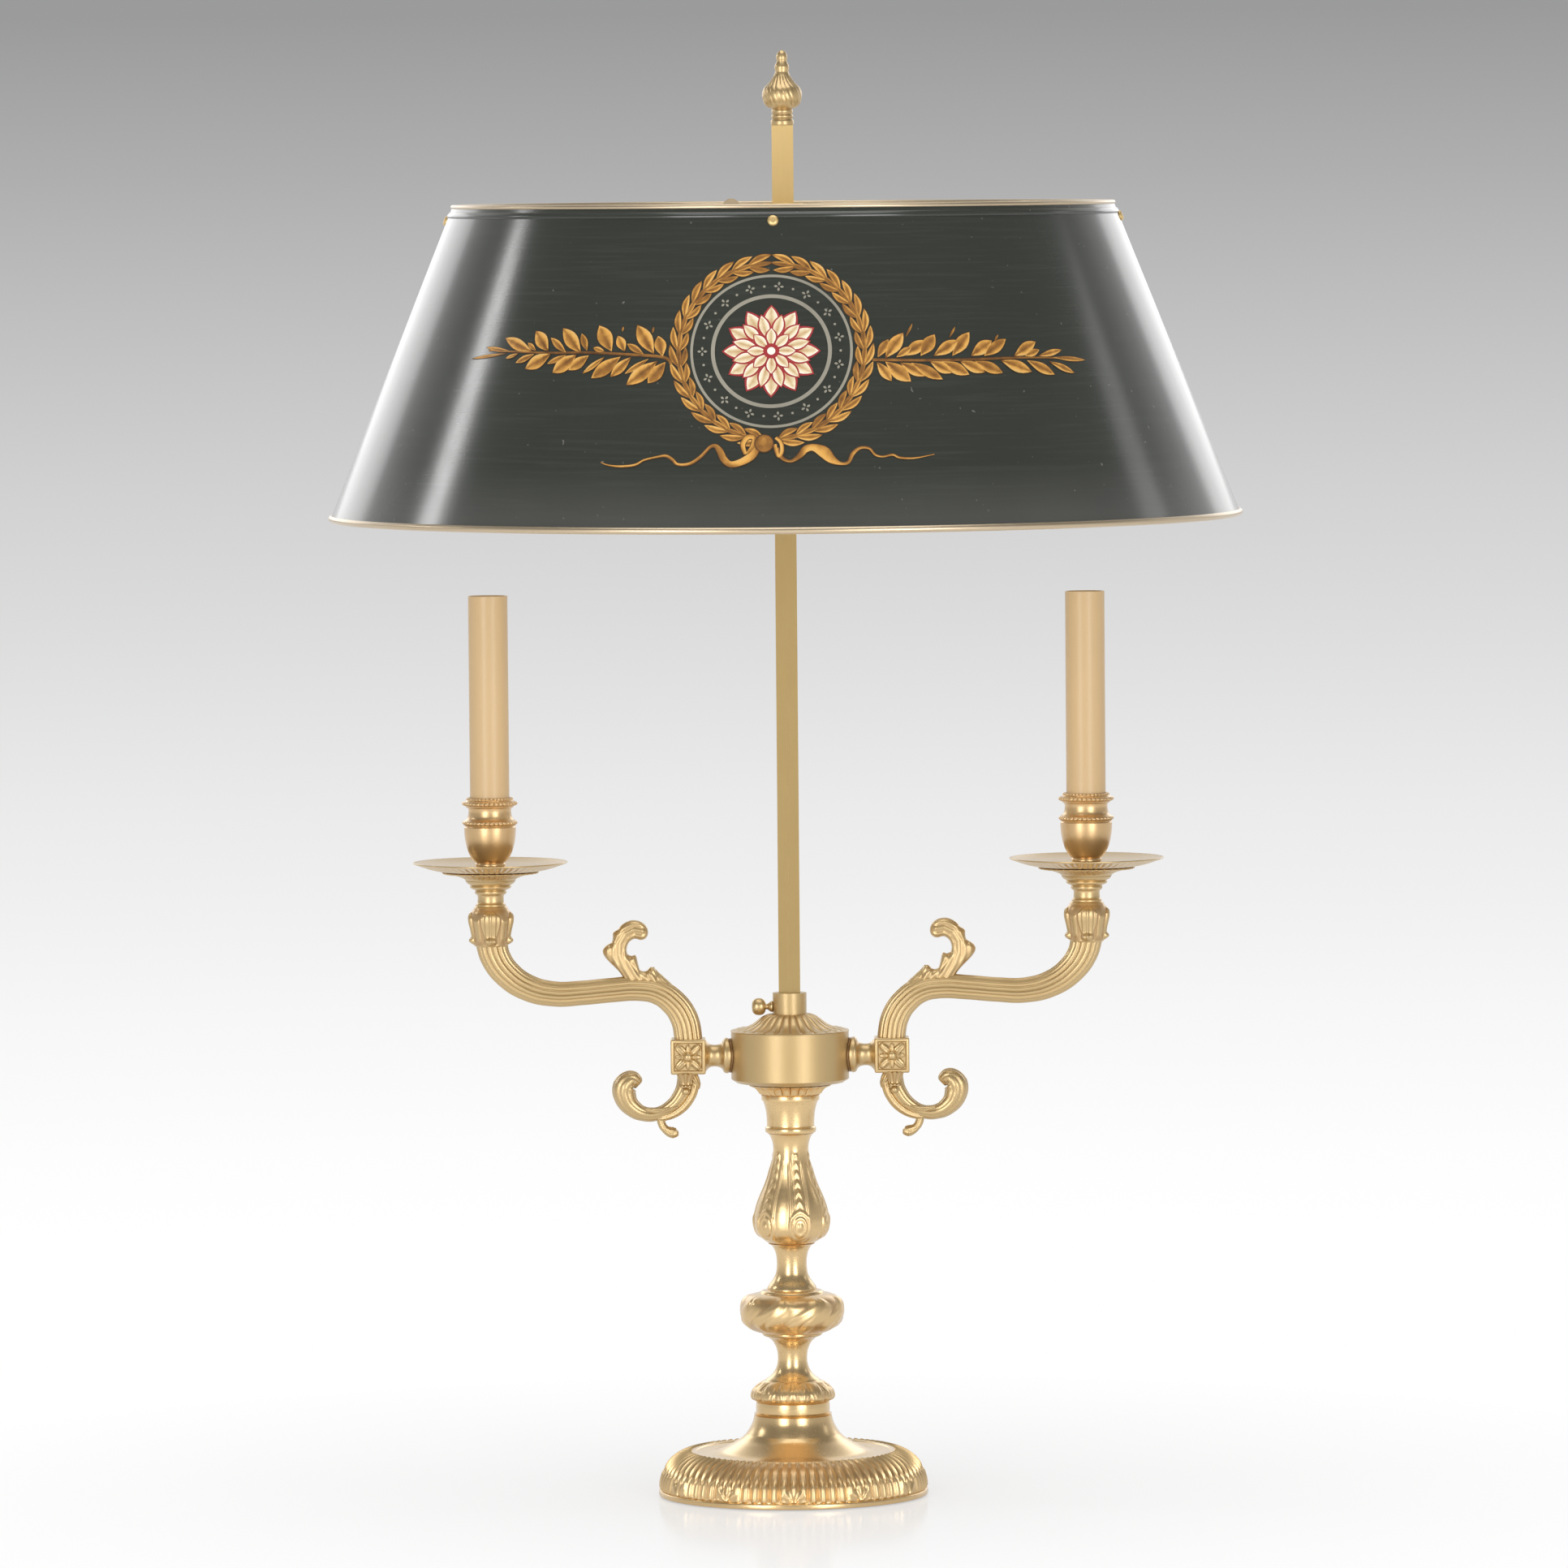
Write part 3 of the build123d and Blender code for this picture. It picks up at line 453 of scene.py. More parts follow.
def put(tree, kind, inputs=None, **settings):
    """Add a shader node, with its settings and its inputs."""
    made = tree.nodes.new(kind)
    for key, value in settings.items():
        setattr(made, key, value)
    for key, value in (inputs or {}).items():
        if isinstance(value, bpy.types.NodeSocket):
            tree.links.new(value, made.inputs[key])
        else:
            made.inputs[key].default_value = value
    return made


def new_finish(name):
    """A material with only its shader and output."""
    material = bpy.data.materials.new(name)
    material.use_nodes = True
    tree = material.node_tree
    tree.nodes.clear()
    shader = put(tree, "ShaderNodeBsdfPrincipled")
    put(tree, "ShaderNodeOutputMaterial", {"Surface": shader.outputs["BSDF"]})
    place = put(tree, "ShaderNodeTexCoord").outputs["Object"]
    return material, tree, shader, place


def stretched(tree, place, scale):
    return put(tree, "ShaderNodeMapping", {"Vector": place, "Scale": scale}).outputs["Vector"]


def noise(tree, place, scale, detail):
    return put(tree, "ShaderNodeTexNoise", {"Vector": place, "Scale": scale, "Detail": detail}).outputs["Fac"]


def spread(tree, value, ends, to=(0.0, 1.0)):
    """Spread a value between two ends to two others, and hold it outside them."""
    inputs = {"Value": value, "From Min": ends[0], "From Max": ends[1], "To Min": to[0], "To Max": to[1]}
    return put(tree, "ShaderNodeMapRange", inputs).outputs["Result"]


def between(tree, factor, low, high):
    """Spread a factor from 0..1 to low..high."""
    return spread(tree, factor, (0.0, 1.0), (low, high))


def maths(tree, operation, *values):
    return put(tree, "ShaderNodeMath", dict(enumerate(values)), operation=operation).outputs[0]


def kept(tree, name):
    """The number that each point keeps under this name."""
    return put(tree, "ShaderNodeAttribute", attribute_name=name).outputs["Fac"]


def parts_of(tree, vector):
    return put(tree, "ShaderNodeSeparateXYZ", {"Vector": vector}).outputs


def mixed(tree, factor, first, second):
    """Mix two colours, each a colour or a socket, by a socket."""
    mix = tree.nodes.new("ShaderNodeMix")
    mix.data_type = "RGBA"
    tree.links.new(factor, mix.inputs[0])
    for place, value in ((6, first), (7, second)):
        if isinstance(value, bpy.types.NodeSocket):
            tree.links.new(value, mix.inputs[place])
        else:
            mix.inputs[place].default_value = (*value, 1)
    return mix.outputs[2]


def toned(colour, *factors):
    """A colour with its red, green and blue scaled, all alike or each by its own factor."""
    return tuple(c * f for c, f in zip(colour, factors * (3 // len(factors))))


def run_through(ramp, tones):
    """Set the stops of a colour ramp, its two ends first."""
    stops = ramp.color_ramp.elements
    for n, (position, tone) in enumerate(tones):
        stop = stops[n] if n < 2 else stops.new(position)
        stop.position, stop.color = position, (*tone, 1)


def bump(tree, height, strength, distance):
    inputs = {"Height": height, "Strength": strength, "Distance": distance}
    return put(tree, "ShaderNodeBump", inputs).outputs["Normal"]


def coat(shader, weight, roughness):
    shader.inputs["Coat Weight"].default_value = weight
    shader.inputs["Coat Roughness"].default_value = roughness


def brass(
    name, base, roughness, grain=(1, 1, 1), grain_scale=900, grain_depth=0.15,
    carved=False, plain=1.0, metal=0.9,
):
    """Brass with a cloudy tone and a brushed grain. Where it is carved, its recesses are darker, partly
    patina and partly painted shade.

    plain is the share of the roughness that is left on the surface beside the carving.
    """
    material, tree, shader, place = new_finish(name)
    cloud = noise(tree, place, 26.0, 4.0)
    tone = mixed(tree, between(tree, cloud, 0.0, 0.26), base, toned(base, 0.74, 0.62, 0.42))
    if carved:
        # patina and painted shade: the deeper a point of the carving lies, the darker its brass
        deep = spread(tree, kept(tree, "recess"), (0.5, 1.0), (0.0, 0.6))
        tone = mixed(tree, deep, tone, colours().recess_patina_and_shade)
    tree.links.new(tone, shader.inputs["Base Color"])
    shader.inputs["Metallic"].default_value = metal
    grains = noise(tree, stretched(tree, place, grain), grain_scale, 2.0)
    swing = grain_depth / 2
    rough = between(tree, grains, roughness - swing, roughness + swing)
    if plain < 1:
        rough = maths(tree, "MULTIPLY", rough, between(tree, kept(tree, "worked"), plain, 1.0))
    tree.links.new(rough, shader.inputs["Roughness"])
    tree.links.new(bump(tree, grains, grain_depth, 0.1 * MM), shader.inputs["Normal"])
    coat(shader, 0.5, 0.22)
    return material


def rod_finish():
    """Drawn brass, painted lighter above the shade as if lit where the shade casts no shadow on it."""
    plain = colours().rod_brass
    material = brass("rod brass", plain, 0.36, (60, 60, 1), 40, 0.15)
    tree = material.node_tree
    shader = next(node for node in tree.nodes if node.type == "BSDF_PRINCIPLED")
    place = put(tree, "ShaderNodeTexCoord").outputs["Object"]
    # painted light: above the shade the rod's colour turns lighter, as if unshadowed there
    above = spread(tree, parts_of(tree, place)["Z"], ROD_PAINTED_LIGHT_Z)
    tone = shader.inputs["Base Color"].links[0].from_socket
    bright = mixed(tree, above, tone, tuple(min(c * 1.5 + 0.03, 1.0) for c in plain))
    tree.links.new(bright, shader.inputs["Base Color"])
    rough = shader.inputs["Roughness"].links[0].from_socket
    tree.links.new(maths(tree, "MULTIPLY_ADD", above, 0.14, rough), shader.inputs["Roughness"])
    return material


def painted(name, tone, roughness, speck=0.1, lacquer=0.0):
    """Paint with a slightly uneven tone and a fine orange-peel."""
    material, tree, shader, place = new_finish(name)
    cloud = noise(tree, place, 14.0, 5.0)
    shade = mixed(tree, between(tree, cloud, 0.0, speck * 4), tone, toned(tone, 0.6))
    tree.links.new(shade, shader.inputs["Base Color"])
    peel = noise(tree, place, 420.0, 2.0)
    tree.links.new(between(tree, peel, roughness - 0.05, roughness + 0.05), shader.inputs["Roughness"])
    tree.links.new(bump(tree, peel, 0.04, 0.2 * MM), shader.inputs["Normal"])
    coat(shader, lacquer, 0.15)
    return material


def shade_finish():
    """Dark paint outside and pale paint inside, told apart by which way the sheet faces."""
    material, tree, shader, place = new_finish("shade paint")
    geometry = put(tree, "ShaderNodeNewGeometry")
    level = put(tree, "ShaderNodeVectorMath", {0: place, 1: (1, 1, 0)}, operation="MULTIPLY")
    faces = {0: geometry.outputs["Normal"], 1: level.outputs["Vector"]}
    outward = put(tree, "ShaderNodeVectorMath", faces, operation="DOT_PRODUCT")
    outside = maths(tree, "GREATER_THAN", outward.outputs["Value"], 0.0)
    cloud = noise(tree, place, 9.0, 5.0)
    worn = noise(tree, stretched(tree, place, (1, 1, 0.25)), 160.0, 6.0)
    rubbed = noise(tree, stretched(tree, place, (1, 1, 36)), 17.0, 6.0)
    green = colours().shade_green
    dark = mixed(tree, between(tree, cloud, 0.0, 0.6), green, toned(green, 1.7))
    streak = spread(tree, rubbed, (0.5, 0.8), (0.0, 0.22))
    dark = mixed(tree, streak, dark, (0.085, 0.09, 0.082))
    # painted reflection: the dark paint turns unevenly lighter towards the lower rim
    low = spread(tree, parts_of(tree, place)["Z"], SHADE_LOW_REFLECTION_Z, (0.0, 0.8))
    low_reflection = maths(tree, "MULTIPLY", low, between(tree, cloud, 0.4, 1.2))
    dark = mixed(tree, low_reflection, dark, (0.085, 0.086, 0.078))
    fleck = spread(tree, noise(tree, place, 330.0, 1.0), (0.76, 0.82), (0.0, 0.7))
    dark = mixed(tree, fleck, dark, (0.2, 0.19, 0.17))
    pale = mixed(tree, between(tree, cloud, 0.0, 0.3), colours().shade_cream, (0.66, 0.62, 0.52))
    tree.links.new(mixed(tree, outside, pale, dark), shader.inputs["Base Color"])
    gloss = between(tree, worn, 0.15, 0.22)
    matt = between(tree, worn, 0.4, 0.5)
    chosen = put(tree, "ShaderNodeMix", {0: outside, 2: matt, 3: gloss}).outputs[0]
    tree.links.new(chosen, shader.inputs["Roughness"])
    relief = maths(tree, "MULTIPLY", outside, worn)
    tree.links.new(bump(tree, relief, 0.02, 0.2 * MM), shader.inputs["Normal"])
    coat(shader, 0.4, 0.15)
    return material


def brushed_paint(name, tones, scale, unevenness, roughness):
    """Paint that runs through its tones by the tone kept on each point, with uneven brushwork."""
    material, tree, shader, place = new_finish(name)
    stroke = noise(tree, place, scale, 4.0)
    uneven = between(tree, stroke, -unevenness, unevenness)
    ramp = put(tree, "ShaderNodeValToRGB", {"Fac": maths(tree, "ADD", uneven, kept(tree, "tone"))})
    run_through(ramp, tones)
    tree.links.new(ramp.outputs["Color"], shader.inputs["Base Color"])
    tree.links.new(between(tree, stroke, roughness - 0.08, roughness + 0.08), shader.inputs["Roughness"])
    tree.links.new(bump(tree, stroke, 0.08, 0.2 * MM), shader.inputs["Normal"])
    return material


def leaf_paint():
    """Gold leaves with brown lines and light edges."""
    gold = colours().leaf_gold
    tones = (
        (0.12, colours().leaf_brown),
        (0.95, toned(gold, 1.0, 1.2, 1.8)),
        (0.42, toned(gold, 0.45, 0.38, 0.3)),
        (0.70, gold),
    )
    return brushed_paint("leaf paint", tones, 190.0, 0.28, 0.4)


def cream_paint():
    """Cream petals with ochre hollows and white edges."""
    cream = colours().rosette_cream
    tones = (
        (0.05, colours().rosette_red),
        (1.0, (0.9, 0.86, 0.76)),
        (0.35, toned(cream, 0.72, 0.58, 0.42)),
        (0.65, cream),
    )
    return brushed_paint("rosette cream", tones, 260.0, 0.2, 0.4)


FINISHES = {}


def finish(name):
    """One of the lamp's finishes, made once."""
    tones = colours()
    makers = {
        "stem": lambda: brass("stem brass", tones.stem_brass, 0.27, (1, 1, 6), 500, 0.04),
        "carved": lambda: brass(
            "carved brass", tones.stem_brass, 0.34, carved=True, grain_depth=0.1, plain=0.76
        ),
        "arm": lambda: brass("arm brass", tones.arm_brass, 0.37, grain_depth=0.04),
        "arm_carved": lambda: brass("carved arm brass", tones.arm_brass, 0.38, carved=True, grain_depth=0.03),
        "drum": lambda: brass("drum brass", tones.drum_brass, 0.44, (40, 40, 1), 60, 0.12, metal=0.75),
        "rod": rod_finish,
        "cup": lambda: brass("cup brass", tones.cup_brass, 0.33, (1, 1, 40), 60, 0.08, carved=True),
        "dish": lambda: brass("dish brass", tones.arm_brass, 0.3, (1, 1, 1), 300, 0.05, carved=True),
        "gilt": lambda: brass("gilt", tones.gilt, 0.34),
        "steel": lambda: brass("plated steel", (0.52, 0.52, 0.5), 0.3),
        "washer": lambda: brass("bronzed washer", (0.30, 0.17, 0.07), 0.4),
        "iron": lambda: painted("cast iron", (0.05, 0.05, 0.05), 0.6),
        "moulding": lambda: painted("dark moulding", (0.03, 0.026, 0.024), 0.35),
        "wire": lambda: painted("wire cover", (0.5, 0.46, 0.36), 0.5),
        "felt": lambda: painted("felt", (0.03, 0.08, 0.04), 0.9),
        "sleeve": lambda: painted("candle sleeve", tones.sleeve_cream, 0.42, 0.06, 0.15),
        "shade": shade_finish,
        "leaf": leaf_paint,
        "grey": lambda: painted("ring paint", tones.ring_grey, 0.4, 0.35),
        "cream": cream_paint,
        "red": lambda: painted("rosette red", tones.rosette_red, 0.4, 0.2),
    }
    if name not in FINISHES:
        FINISHES[name] = makers[name]()
    return FINISHES[name]


CARRIED = {
    "drum": ("drum", "rod_collar"),
    "rod": ("rod", "shade_spider", "shade_screws"),
    "gilt": ("shade_bottom_rim", "shade_top_rim", "shade_clamp_screw", "socket_shell_left",
             "socket_shell_right", "socket_contacts"),
    "steel": ("tie_tube", "tie_washer", "tie_nuts", "collar_nut", "arm_nipples", "arm_nuts", "candle_posts",
              "post_nuts", "finial_stud", "shade_nuts"),
    "iron": ("foot_ballast",),
    "moulding": ("cord_grommet", "socket_body_left", "socket_body_right", "wire_connectors"),
    "wire": ("arm_wires", "stem_wires"),
    "felt": ("foot_felt",),
    "washer": ("arm_washers",),
    "sleeve": ("candle_sleeve_left", "candle_sleeve_right"),
    "shade": ("shade_shell",),
}


class LAMP_OT_finishes(Operator):
    """Give each carried CAD node its finish"""

    bl_idname = "lamp.finishes"
    bl_label = "Finishes of the CAD pieces"

    def execute(self, context):
        for name, nodes in CARRIED.items():
            for node in nodes:
                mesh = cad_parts[node].data
                mesh.materials.clear()
                mesh.materials.append(finish(name))
        return {"FINISHED"}


# ------------------------------------------------------------------ foot and stem
INLET_RADIUS = 5.2  # mm, the hole for the cord at the back of the foot
FOOT_SHELLS = 12
FOOT_RIM_RADIUS = 74  # mm, where the shells are laid out
COLLAR_LEAVES = 14
KNOP_LEAVES = 8
VASE_OVALS = 6
BOSS_LEAVES = 24
FINIAL_FLUTES = 18


class LAMP_OT_foot(Operator):
    """Turn and flute the round foot"""

    bl_idname = "lamp.foot"
    bl_label = "Foot"

    def execute(self, context):
        flutes = sizes().foot_flutes
        deep = sizes().flute_depth / MM
        line = outline(
            [(70.5, 0.5), (75.1, 0.5)],
            [(75.5, 1.0), (75.5, 2.8), (75.1, 3.4)],
            [(74.2, 3.7)],
            [(74.5, 6.0), (74.2, 8.6), (73.4, 11.4), (72.1, 14.4), (70.2, 17.4), (67.8, 20.0),
             (64.8, 22.2), (61.4, 23.8), (57.6, 24.7)],
            [(56.4, 25.0), (55.2, 24.8), (54.3, 24.3)],
            [(50.5, 23.9), (46.5, 23.9), (42.0, 24.9), (37.0, 27.2), (32.5, 29.7), (29.0, 31.9),
             (26.4, 34.4)],
            [(24.3, 37.6), (22.6, 41.2), (21.7, 44.9)],
            [(20.7, 45.2), (20.7, 46.0), (CORE, 46.0)],
        )
        foot = turn("foot_form", line, flutes * 10)

        def depth(turns, z, radii):
            """Ridges between the flutes, a tongue low in each, and shells at the lower edge."""
            rim = band(z, 3.8, 30.0, 0.8) * band(radii, 56.9, 80.0, 1.2)
            across = lobes(turns, flutes, 0.5)
            low = 0.5 - 0.5 * np.cos(pi * np.clip((18.0 - z) / 6.5, 0, 1))
            ridge = 0.95 * np.exp(-(((1 - np.abs(across)) / 0.19) ** 2)) * (1 - 0.35 * low)
            half = 0.3 + 0.34 * low
            tongue = 1.5 * low * dome(across / half)
            channel = -0.6 * (1 - across**4 * (1 - low))
            side = lobes(turns, FOOT_SHELLS, 0.5) * pi / FOOT_SHELLS * FOOT_RIM_RADIUS
            up = z - 3.4
            fan = np.hypot(side * 1.15, up)
            ray = np.arctan2(side * 1.15, up + 0.01)
            edge = 9.2 + 0.7 * np.cos(ray * 8)
            shell = np.clip(1 - (fan / edge) ** 6, 0, 1)
            ribbed = 0.35 + 0.4 * np.cos(ray * 8) * np.clip(fan / 3, 0, 1) + 0.6 * hill(fan, 2.6)
            return deep * rim * ((ridge + channel + tongue) * (1 - shell) + ribbed * shell)

        carve(foot, depth)
        inlet_low, inlet_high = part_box("cord_grommet")
        centre = (inlet_low + inlet_high) / 2

        def at_inlet(face):
            away = hypot(face.center.x - centre.x, face.center.z - centre.z)
            return face.center.y > inlet_low.y and away < INLET_RADIUS * MM and len(face.vertices) == 4

        cut_away(foot, at_inlet)
        finish_piece(polish(foot), "foot_form", "lamp", "cast_brass", finish("carved"), "foot")
        return {"FINISHED"}


class LAMP_OT_stem(Operator):
    """Turn and carve the castings between the foot and the drum"""

    bl_idname = "lamp.stem"
    bl_label = "Stem"

    def execute(self, context):
        deep = sizes().carving_depth / MM

        def collar_depth(turns, z, radii):
            """Veined leaves, with others behind them."""
            body = band(z, 52.9, 64.2, 1.2)
            across = lobes(turns, COLLAR_LEAVES)
            height = (z - 53) / 11.5
            leaf = dome(across / (1.02 - 0.35 * height)) - 0.45
            vein = -0.5 * np.exp(-((across / 0.1) ** 2)) + 0.3 * np.cos(np.abs(across) * 12 - height * 9)
            gap = lobes(turns, COLLAR_LEAVES, 0.5)
            behind = 0.5 * hill(np.hypot(gap * 1.6, (height - 0.75) * 2.2), 1.0)
            tip = 0.35 * hill(np.hypot(across * 2.2, z - 55.0), 2.4)
            return 0.75 * body * deep * (leaf + 0.5 * vein + behind + tip)

        casting("stem_collar", outline(
            [(CORE, 46.0), (20.2, 46.0)],
            [(20.6, 46.9), (20.7, 49.6), (20.5, 52.2)],
            [(19.9, 52.7)],
            [(21.6, 53.4), (23.0, 55.0), (23.1, 57.2), (22.2, 59.2), (20.4, 61.2), (17.4, 63.4),
             (15.5, 64.5)],
            [(CORE, 64.5)],
        ), 256, "carved", collar_depth)

        casting("lower_spool", outline(
            [(CORE, 64.5), (15.4, 64.5)],
            [(14.6, 65.3), (11.6, 67.6), (9.4, 71.0), (8.3, 75.0), (8.3, 79.0), (9.0, 82.4), (10.9, 86.2),
             (13.6, 88.6), (15.6, 89.4)],
            [(15.6, 90.0), (CORE, 90.0)],
        ), 96, "stem")

        def knop_depth(turns, z, radii):
            """Leaning leaves, veined and with a curled tip."""
            body = band(z, 91.4, 113.2, 2.4)
            height = (z - 91.4) / 21.8
            lean = turns - 0.34 * (height - 0.5) + 0.12 * np.sin(height * pi * 2)
            across = lobes(lean, KNOP_LEAVES)
            half = 0.35 + 0.75 * np.sin(np.clip(height, 0, 1) * pi)
            leaf = np.clip(1 - (across / half) ** 2, 0, 1) - 0.35
            within = np.clip(half - np.abs(across), 0, 0.2)
            veins = 0.14 * np.cos((np.abs(across) * 1.2 + height * 2.0) * tau) * within * 5
            midrib = -0.35 * np.exp(-((across / 0.14) ** 2))
            curl = 0.5 * hill(np.hypot(across * 1.8, (height - 0.7) * 3.4), 1.0)
            return body * deep * (0.8 * leaf + veins + midrib + curl)

        casting("knop", outline(
            [(CORE, 90.0), (16.4, 90.0)],
            [(16.9, 90.5), (16.8, 91.1)],
            [(20.6, 92.2), (24.6, 94.4), (27.6, 97.6), (28.9, 101.6), (28.9, 105.0), (27.9, 108.6),
             (25.6, 111.4), (21.6, 113.0), (18.0, 113.6)],
            [(17.6, 114.2), (16.8, 114.9), (15.4, 115.2), (14.2, 115.5)],
            [(CORE, 115.5)],
            steps=6,
        ), KNOP_LEAVES * 48, "carved", knop_depth)

        casting("upper_spool", outline(
            [(CORE, 115.5), (13.9, 115.5)],
            [(13.9, 116.2), (12.8, 118.2), (10.6, 121.2), (9.0, 124.6), (8.4, 129.0), (8.5, 133.0),
             (9.2, 136.6), (10.8, 139.8), (12.6, 141.2)],
            [(12.6, 141.5), (CORE, 141.5)],
        ), 96, "stem")

        def vase_depth(turns, z, radii):
            """Ovals, each with a plaited column above it and a ridge on either side."""
            side = lobes(turns - radians(14), VASE_OVALS, 0.5) * pi / VASE_OVALS * radii
            oval = np.hypot(side / 6.2, (z - 152.2) / 8.8)
            border = 0.75 * hill(np.abs(oval - 0.92), 0.2) + 0.6 * hill(np.abs(oval - 0.56), 0.16)
            centre = 0.75 * hill(oval, 0.34)
            up = np.clip((z - 161.0) / 33.0, 0, 1)
            half = 3.2 - 1.5 * up
            husk = np.clip(1 - (side / half) ** 2, 0, 1)
            plait = 0.62 + 0.3 * np.cos((z - 161 + np.abs(side) * 1.1) * tau / 5.2)
            column = husk * plait * band(z, 160.0, 194.0, 3.0)
            swing = 7.0 - 3.4 * np.sqrt(np.clip((z - 150.0) / 40.0, 0, 1))
            ridge = 0.6 * hill(np.abs(np.abs(side) - swing), 1.3) * band(z, 149.0, 190.0, 8.0)
            return deep * (border + centre + 0.85 * column + ridge) * band(z, 143.0, 195.0, 3.0)

        casting("vase", outline(
            [(CORE, 141.5), (12.6, 141.5)],
            [(15.6, 143.6), (18.9, 146.6), (20.5, 150.0), (20.8, 154.0), (20.4, 158.0), (19.4, 162.2),
             (17.9, 166.6), (16.2, 170.6), (14.5, 174.6), (12.9, 179.2), (11.6, 184.0), (10.5, 188.4),
             (10.0, 192.6), (10.0, 196.6), (10.9, 200.4), (12.3, 203.0)],
            [(12.5, 203.5), (CORE, 203.5)],
            steps=7,
        ), VASE_OVALS * 56, "carved", vase_depth)

        casting("drum_cup", outline(
            [(CORE, 203.5), (12.6, 203.5)],
            [(13.8, 203.9), (14.3, 205.2), (14.1, 206.6), (13.5, 207.3)],
            [(13.3, 208.0), (13.4, 212.0), (13.8, 216.0), (14.7, 219.8), (15.6, 222.0)],
            [(16.1, 222.1), (16.3, 223.4), (16.1, 224.7)],
            [(15.8, 225.0), (CORE, 225.0)],
        ), 128, "stem")

        def boss_depth(turns, z, radii):
            """Small leaves, each with a rib."""
            across = lobes(turns, BOSS_LEAVES)
            return band(z, 225.2, 231.5, 1.0) * (dome(across) * 0.9 - 0.5 + 0.2 * np.cos(across * 9))

        casting("drum_boss", outline(
            [(CORE, 225.0), (16.2, 225.0)],
            [(17.1, 226.2), (18.2, 227.8), (19.8, 229.4), (22.8, 230.6)],
            [(CORE, 230.7)],
        ), BOSS_LEAVES * 12, "carved", boss_depth)
        return {"FINISHED"}


class LAMP_OT_drum_cover(Operator):
    """Turn and flute the cover of the drum"""

    bl_idname = "lamp.drum_cover"
    bl_label = "Drum cover"

    def execute(self, context):
        flutes = sizes().cover_flutes

        def depth(turns, z, radii):
            """Rounded flutes that swell near the rim."""
            body = band(z, 261.2, 273.0, 0.6) * band(radii, 10.6, 32.6, 2.2)
            across = lobes(turns, flutes)
            return body * (0.95 * dome(across) - 0.75 + 0.35 * hill(radii - 29.5, 2.4))

        casting("drum_cover", outline(
            [(26.0, 258.0), (29.8, 258.0)],
            [(29.8, 260.5)],
            [(33.0, 260.5)],
            [(33.2, 260.8), (33.0, 261.3)],
            [(30.6, 261.6), (27.0, 262.2), (23.4, 263.4), (20.4, 265.0), (17.8, 267.0), (15.0, 269.0),
             (11.6, 270.4)],
            [(8.8, 270.5)],
            steps=5,
        ), flutes * 12, "arm_carved", depth)
        return {"FINISHED"}


class LAMP_OT_finial(Operator):
    """Turn and flute the finial on the rod's end"""

    bl_idname = "lamp.finial"
    bl_label = "Finial"

    def execute(self, context):
        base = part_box("finial")[0].z / MM
        line = outline(
            [(2.6, 0), (6.2, 0)],
            [(6.35, 0.8), (6.35, 2.4), (5.9, 3.3)],
            [(5.5, 3.7), (6.0, 4.5), (6.0, 5.5), (5.5, 6.3), (5.9, 7.1), (5.9, 8.2), (5.5, 9.2)],
            [(7.8, 10.0), (9.9, 12.2), (10.9, 15.4), (10.8, 18.4), (9.8, 21.0), (7.4, 23.6), (5.4, 26.2),
             (4.2, 28.4), (3.7, 29.8)],
            [(3.9, 31.2), (4.0, 32.8), (3.3, 34.6), (2.8, 35.6), (3.0, 36.8), (3.1, 38.2), (2.5, 40.2),
             (1.2, 41.6), (0.3, 41.8)],
            steps=5,
        )

        def depth(turns, z, radii):
            """Flutes that wind round the pear."""
            up = (z - base - 9.5) / 20
            across = lobes(turns + up * 0.7, FINIAL_FLUTES)
            return band(z, base + 9.8, base + 28.5, 2.0) * (0.42 * dome(across) - 0.3)

        casting("finial", [(r, base + z) for r, z in line], FINIAL_FLUTES * 12, "arm_carved", depth, "mast")
        return {"FINISHED"}


class LAMP_OT_thumb_screw(Operator):
    """Turn the thumb screw that holds the rod in its collar"""

    bl_idname = "lamp.thumb_screw"
    bl_label = "Thumb screw"

    def execute(self, context):
        low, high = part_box("rod_clamp_screw")
        line = outline(
            [(0.2, 0), (1.75, 0)],
            [(1.75, 3.1)],
            [(3.0, 3.4), (2.9, 4.4), (2.1, 5.6), (1.6, 6.4), (1.6, 7.2)],
            [(2.9, 7.5), (4.3, 8.8), (4.8, 11.0), (4.4, 13.2), (3.1, 14.7), (1.2, 15.1), (0.2, 15.2)],
            steps=5,
        )
        scale = (high.x - low.x) / MM / line[-1][1]
        screw = turn("thumb_screw_form", [(r, z * scale) for r, z in line], 48)
        settle(screw, (high.x, 0, (low.z + high.z) / 2), (0, -pi / 2, 0))
        finish_piece(
            polish(screw), "thumb_screw_form", "rod_screw", "turned_brass", finish("arm"), "rod_clamp_screw"
        )
        return {"FINISHED"}


# ------------------------------------------------------------------ arms
BOX_X, BOX_Z = 57.0, 247.2  # mm, the middle of the rosette box
BOX_W = 19.5
ROSETTE_PETALS = 8

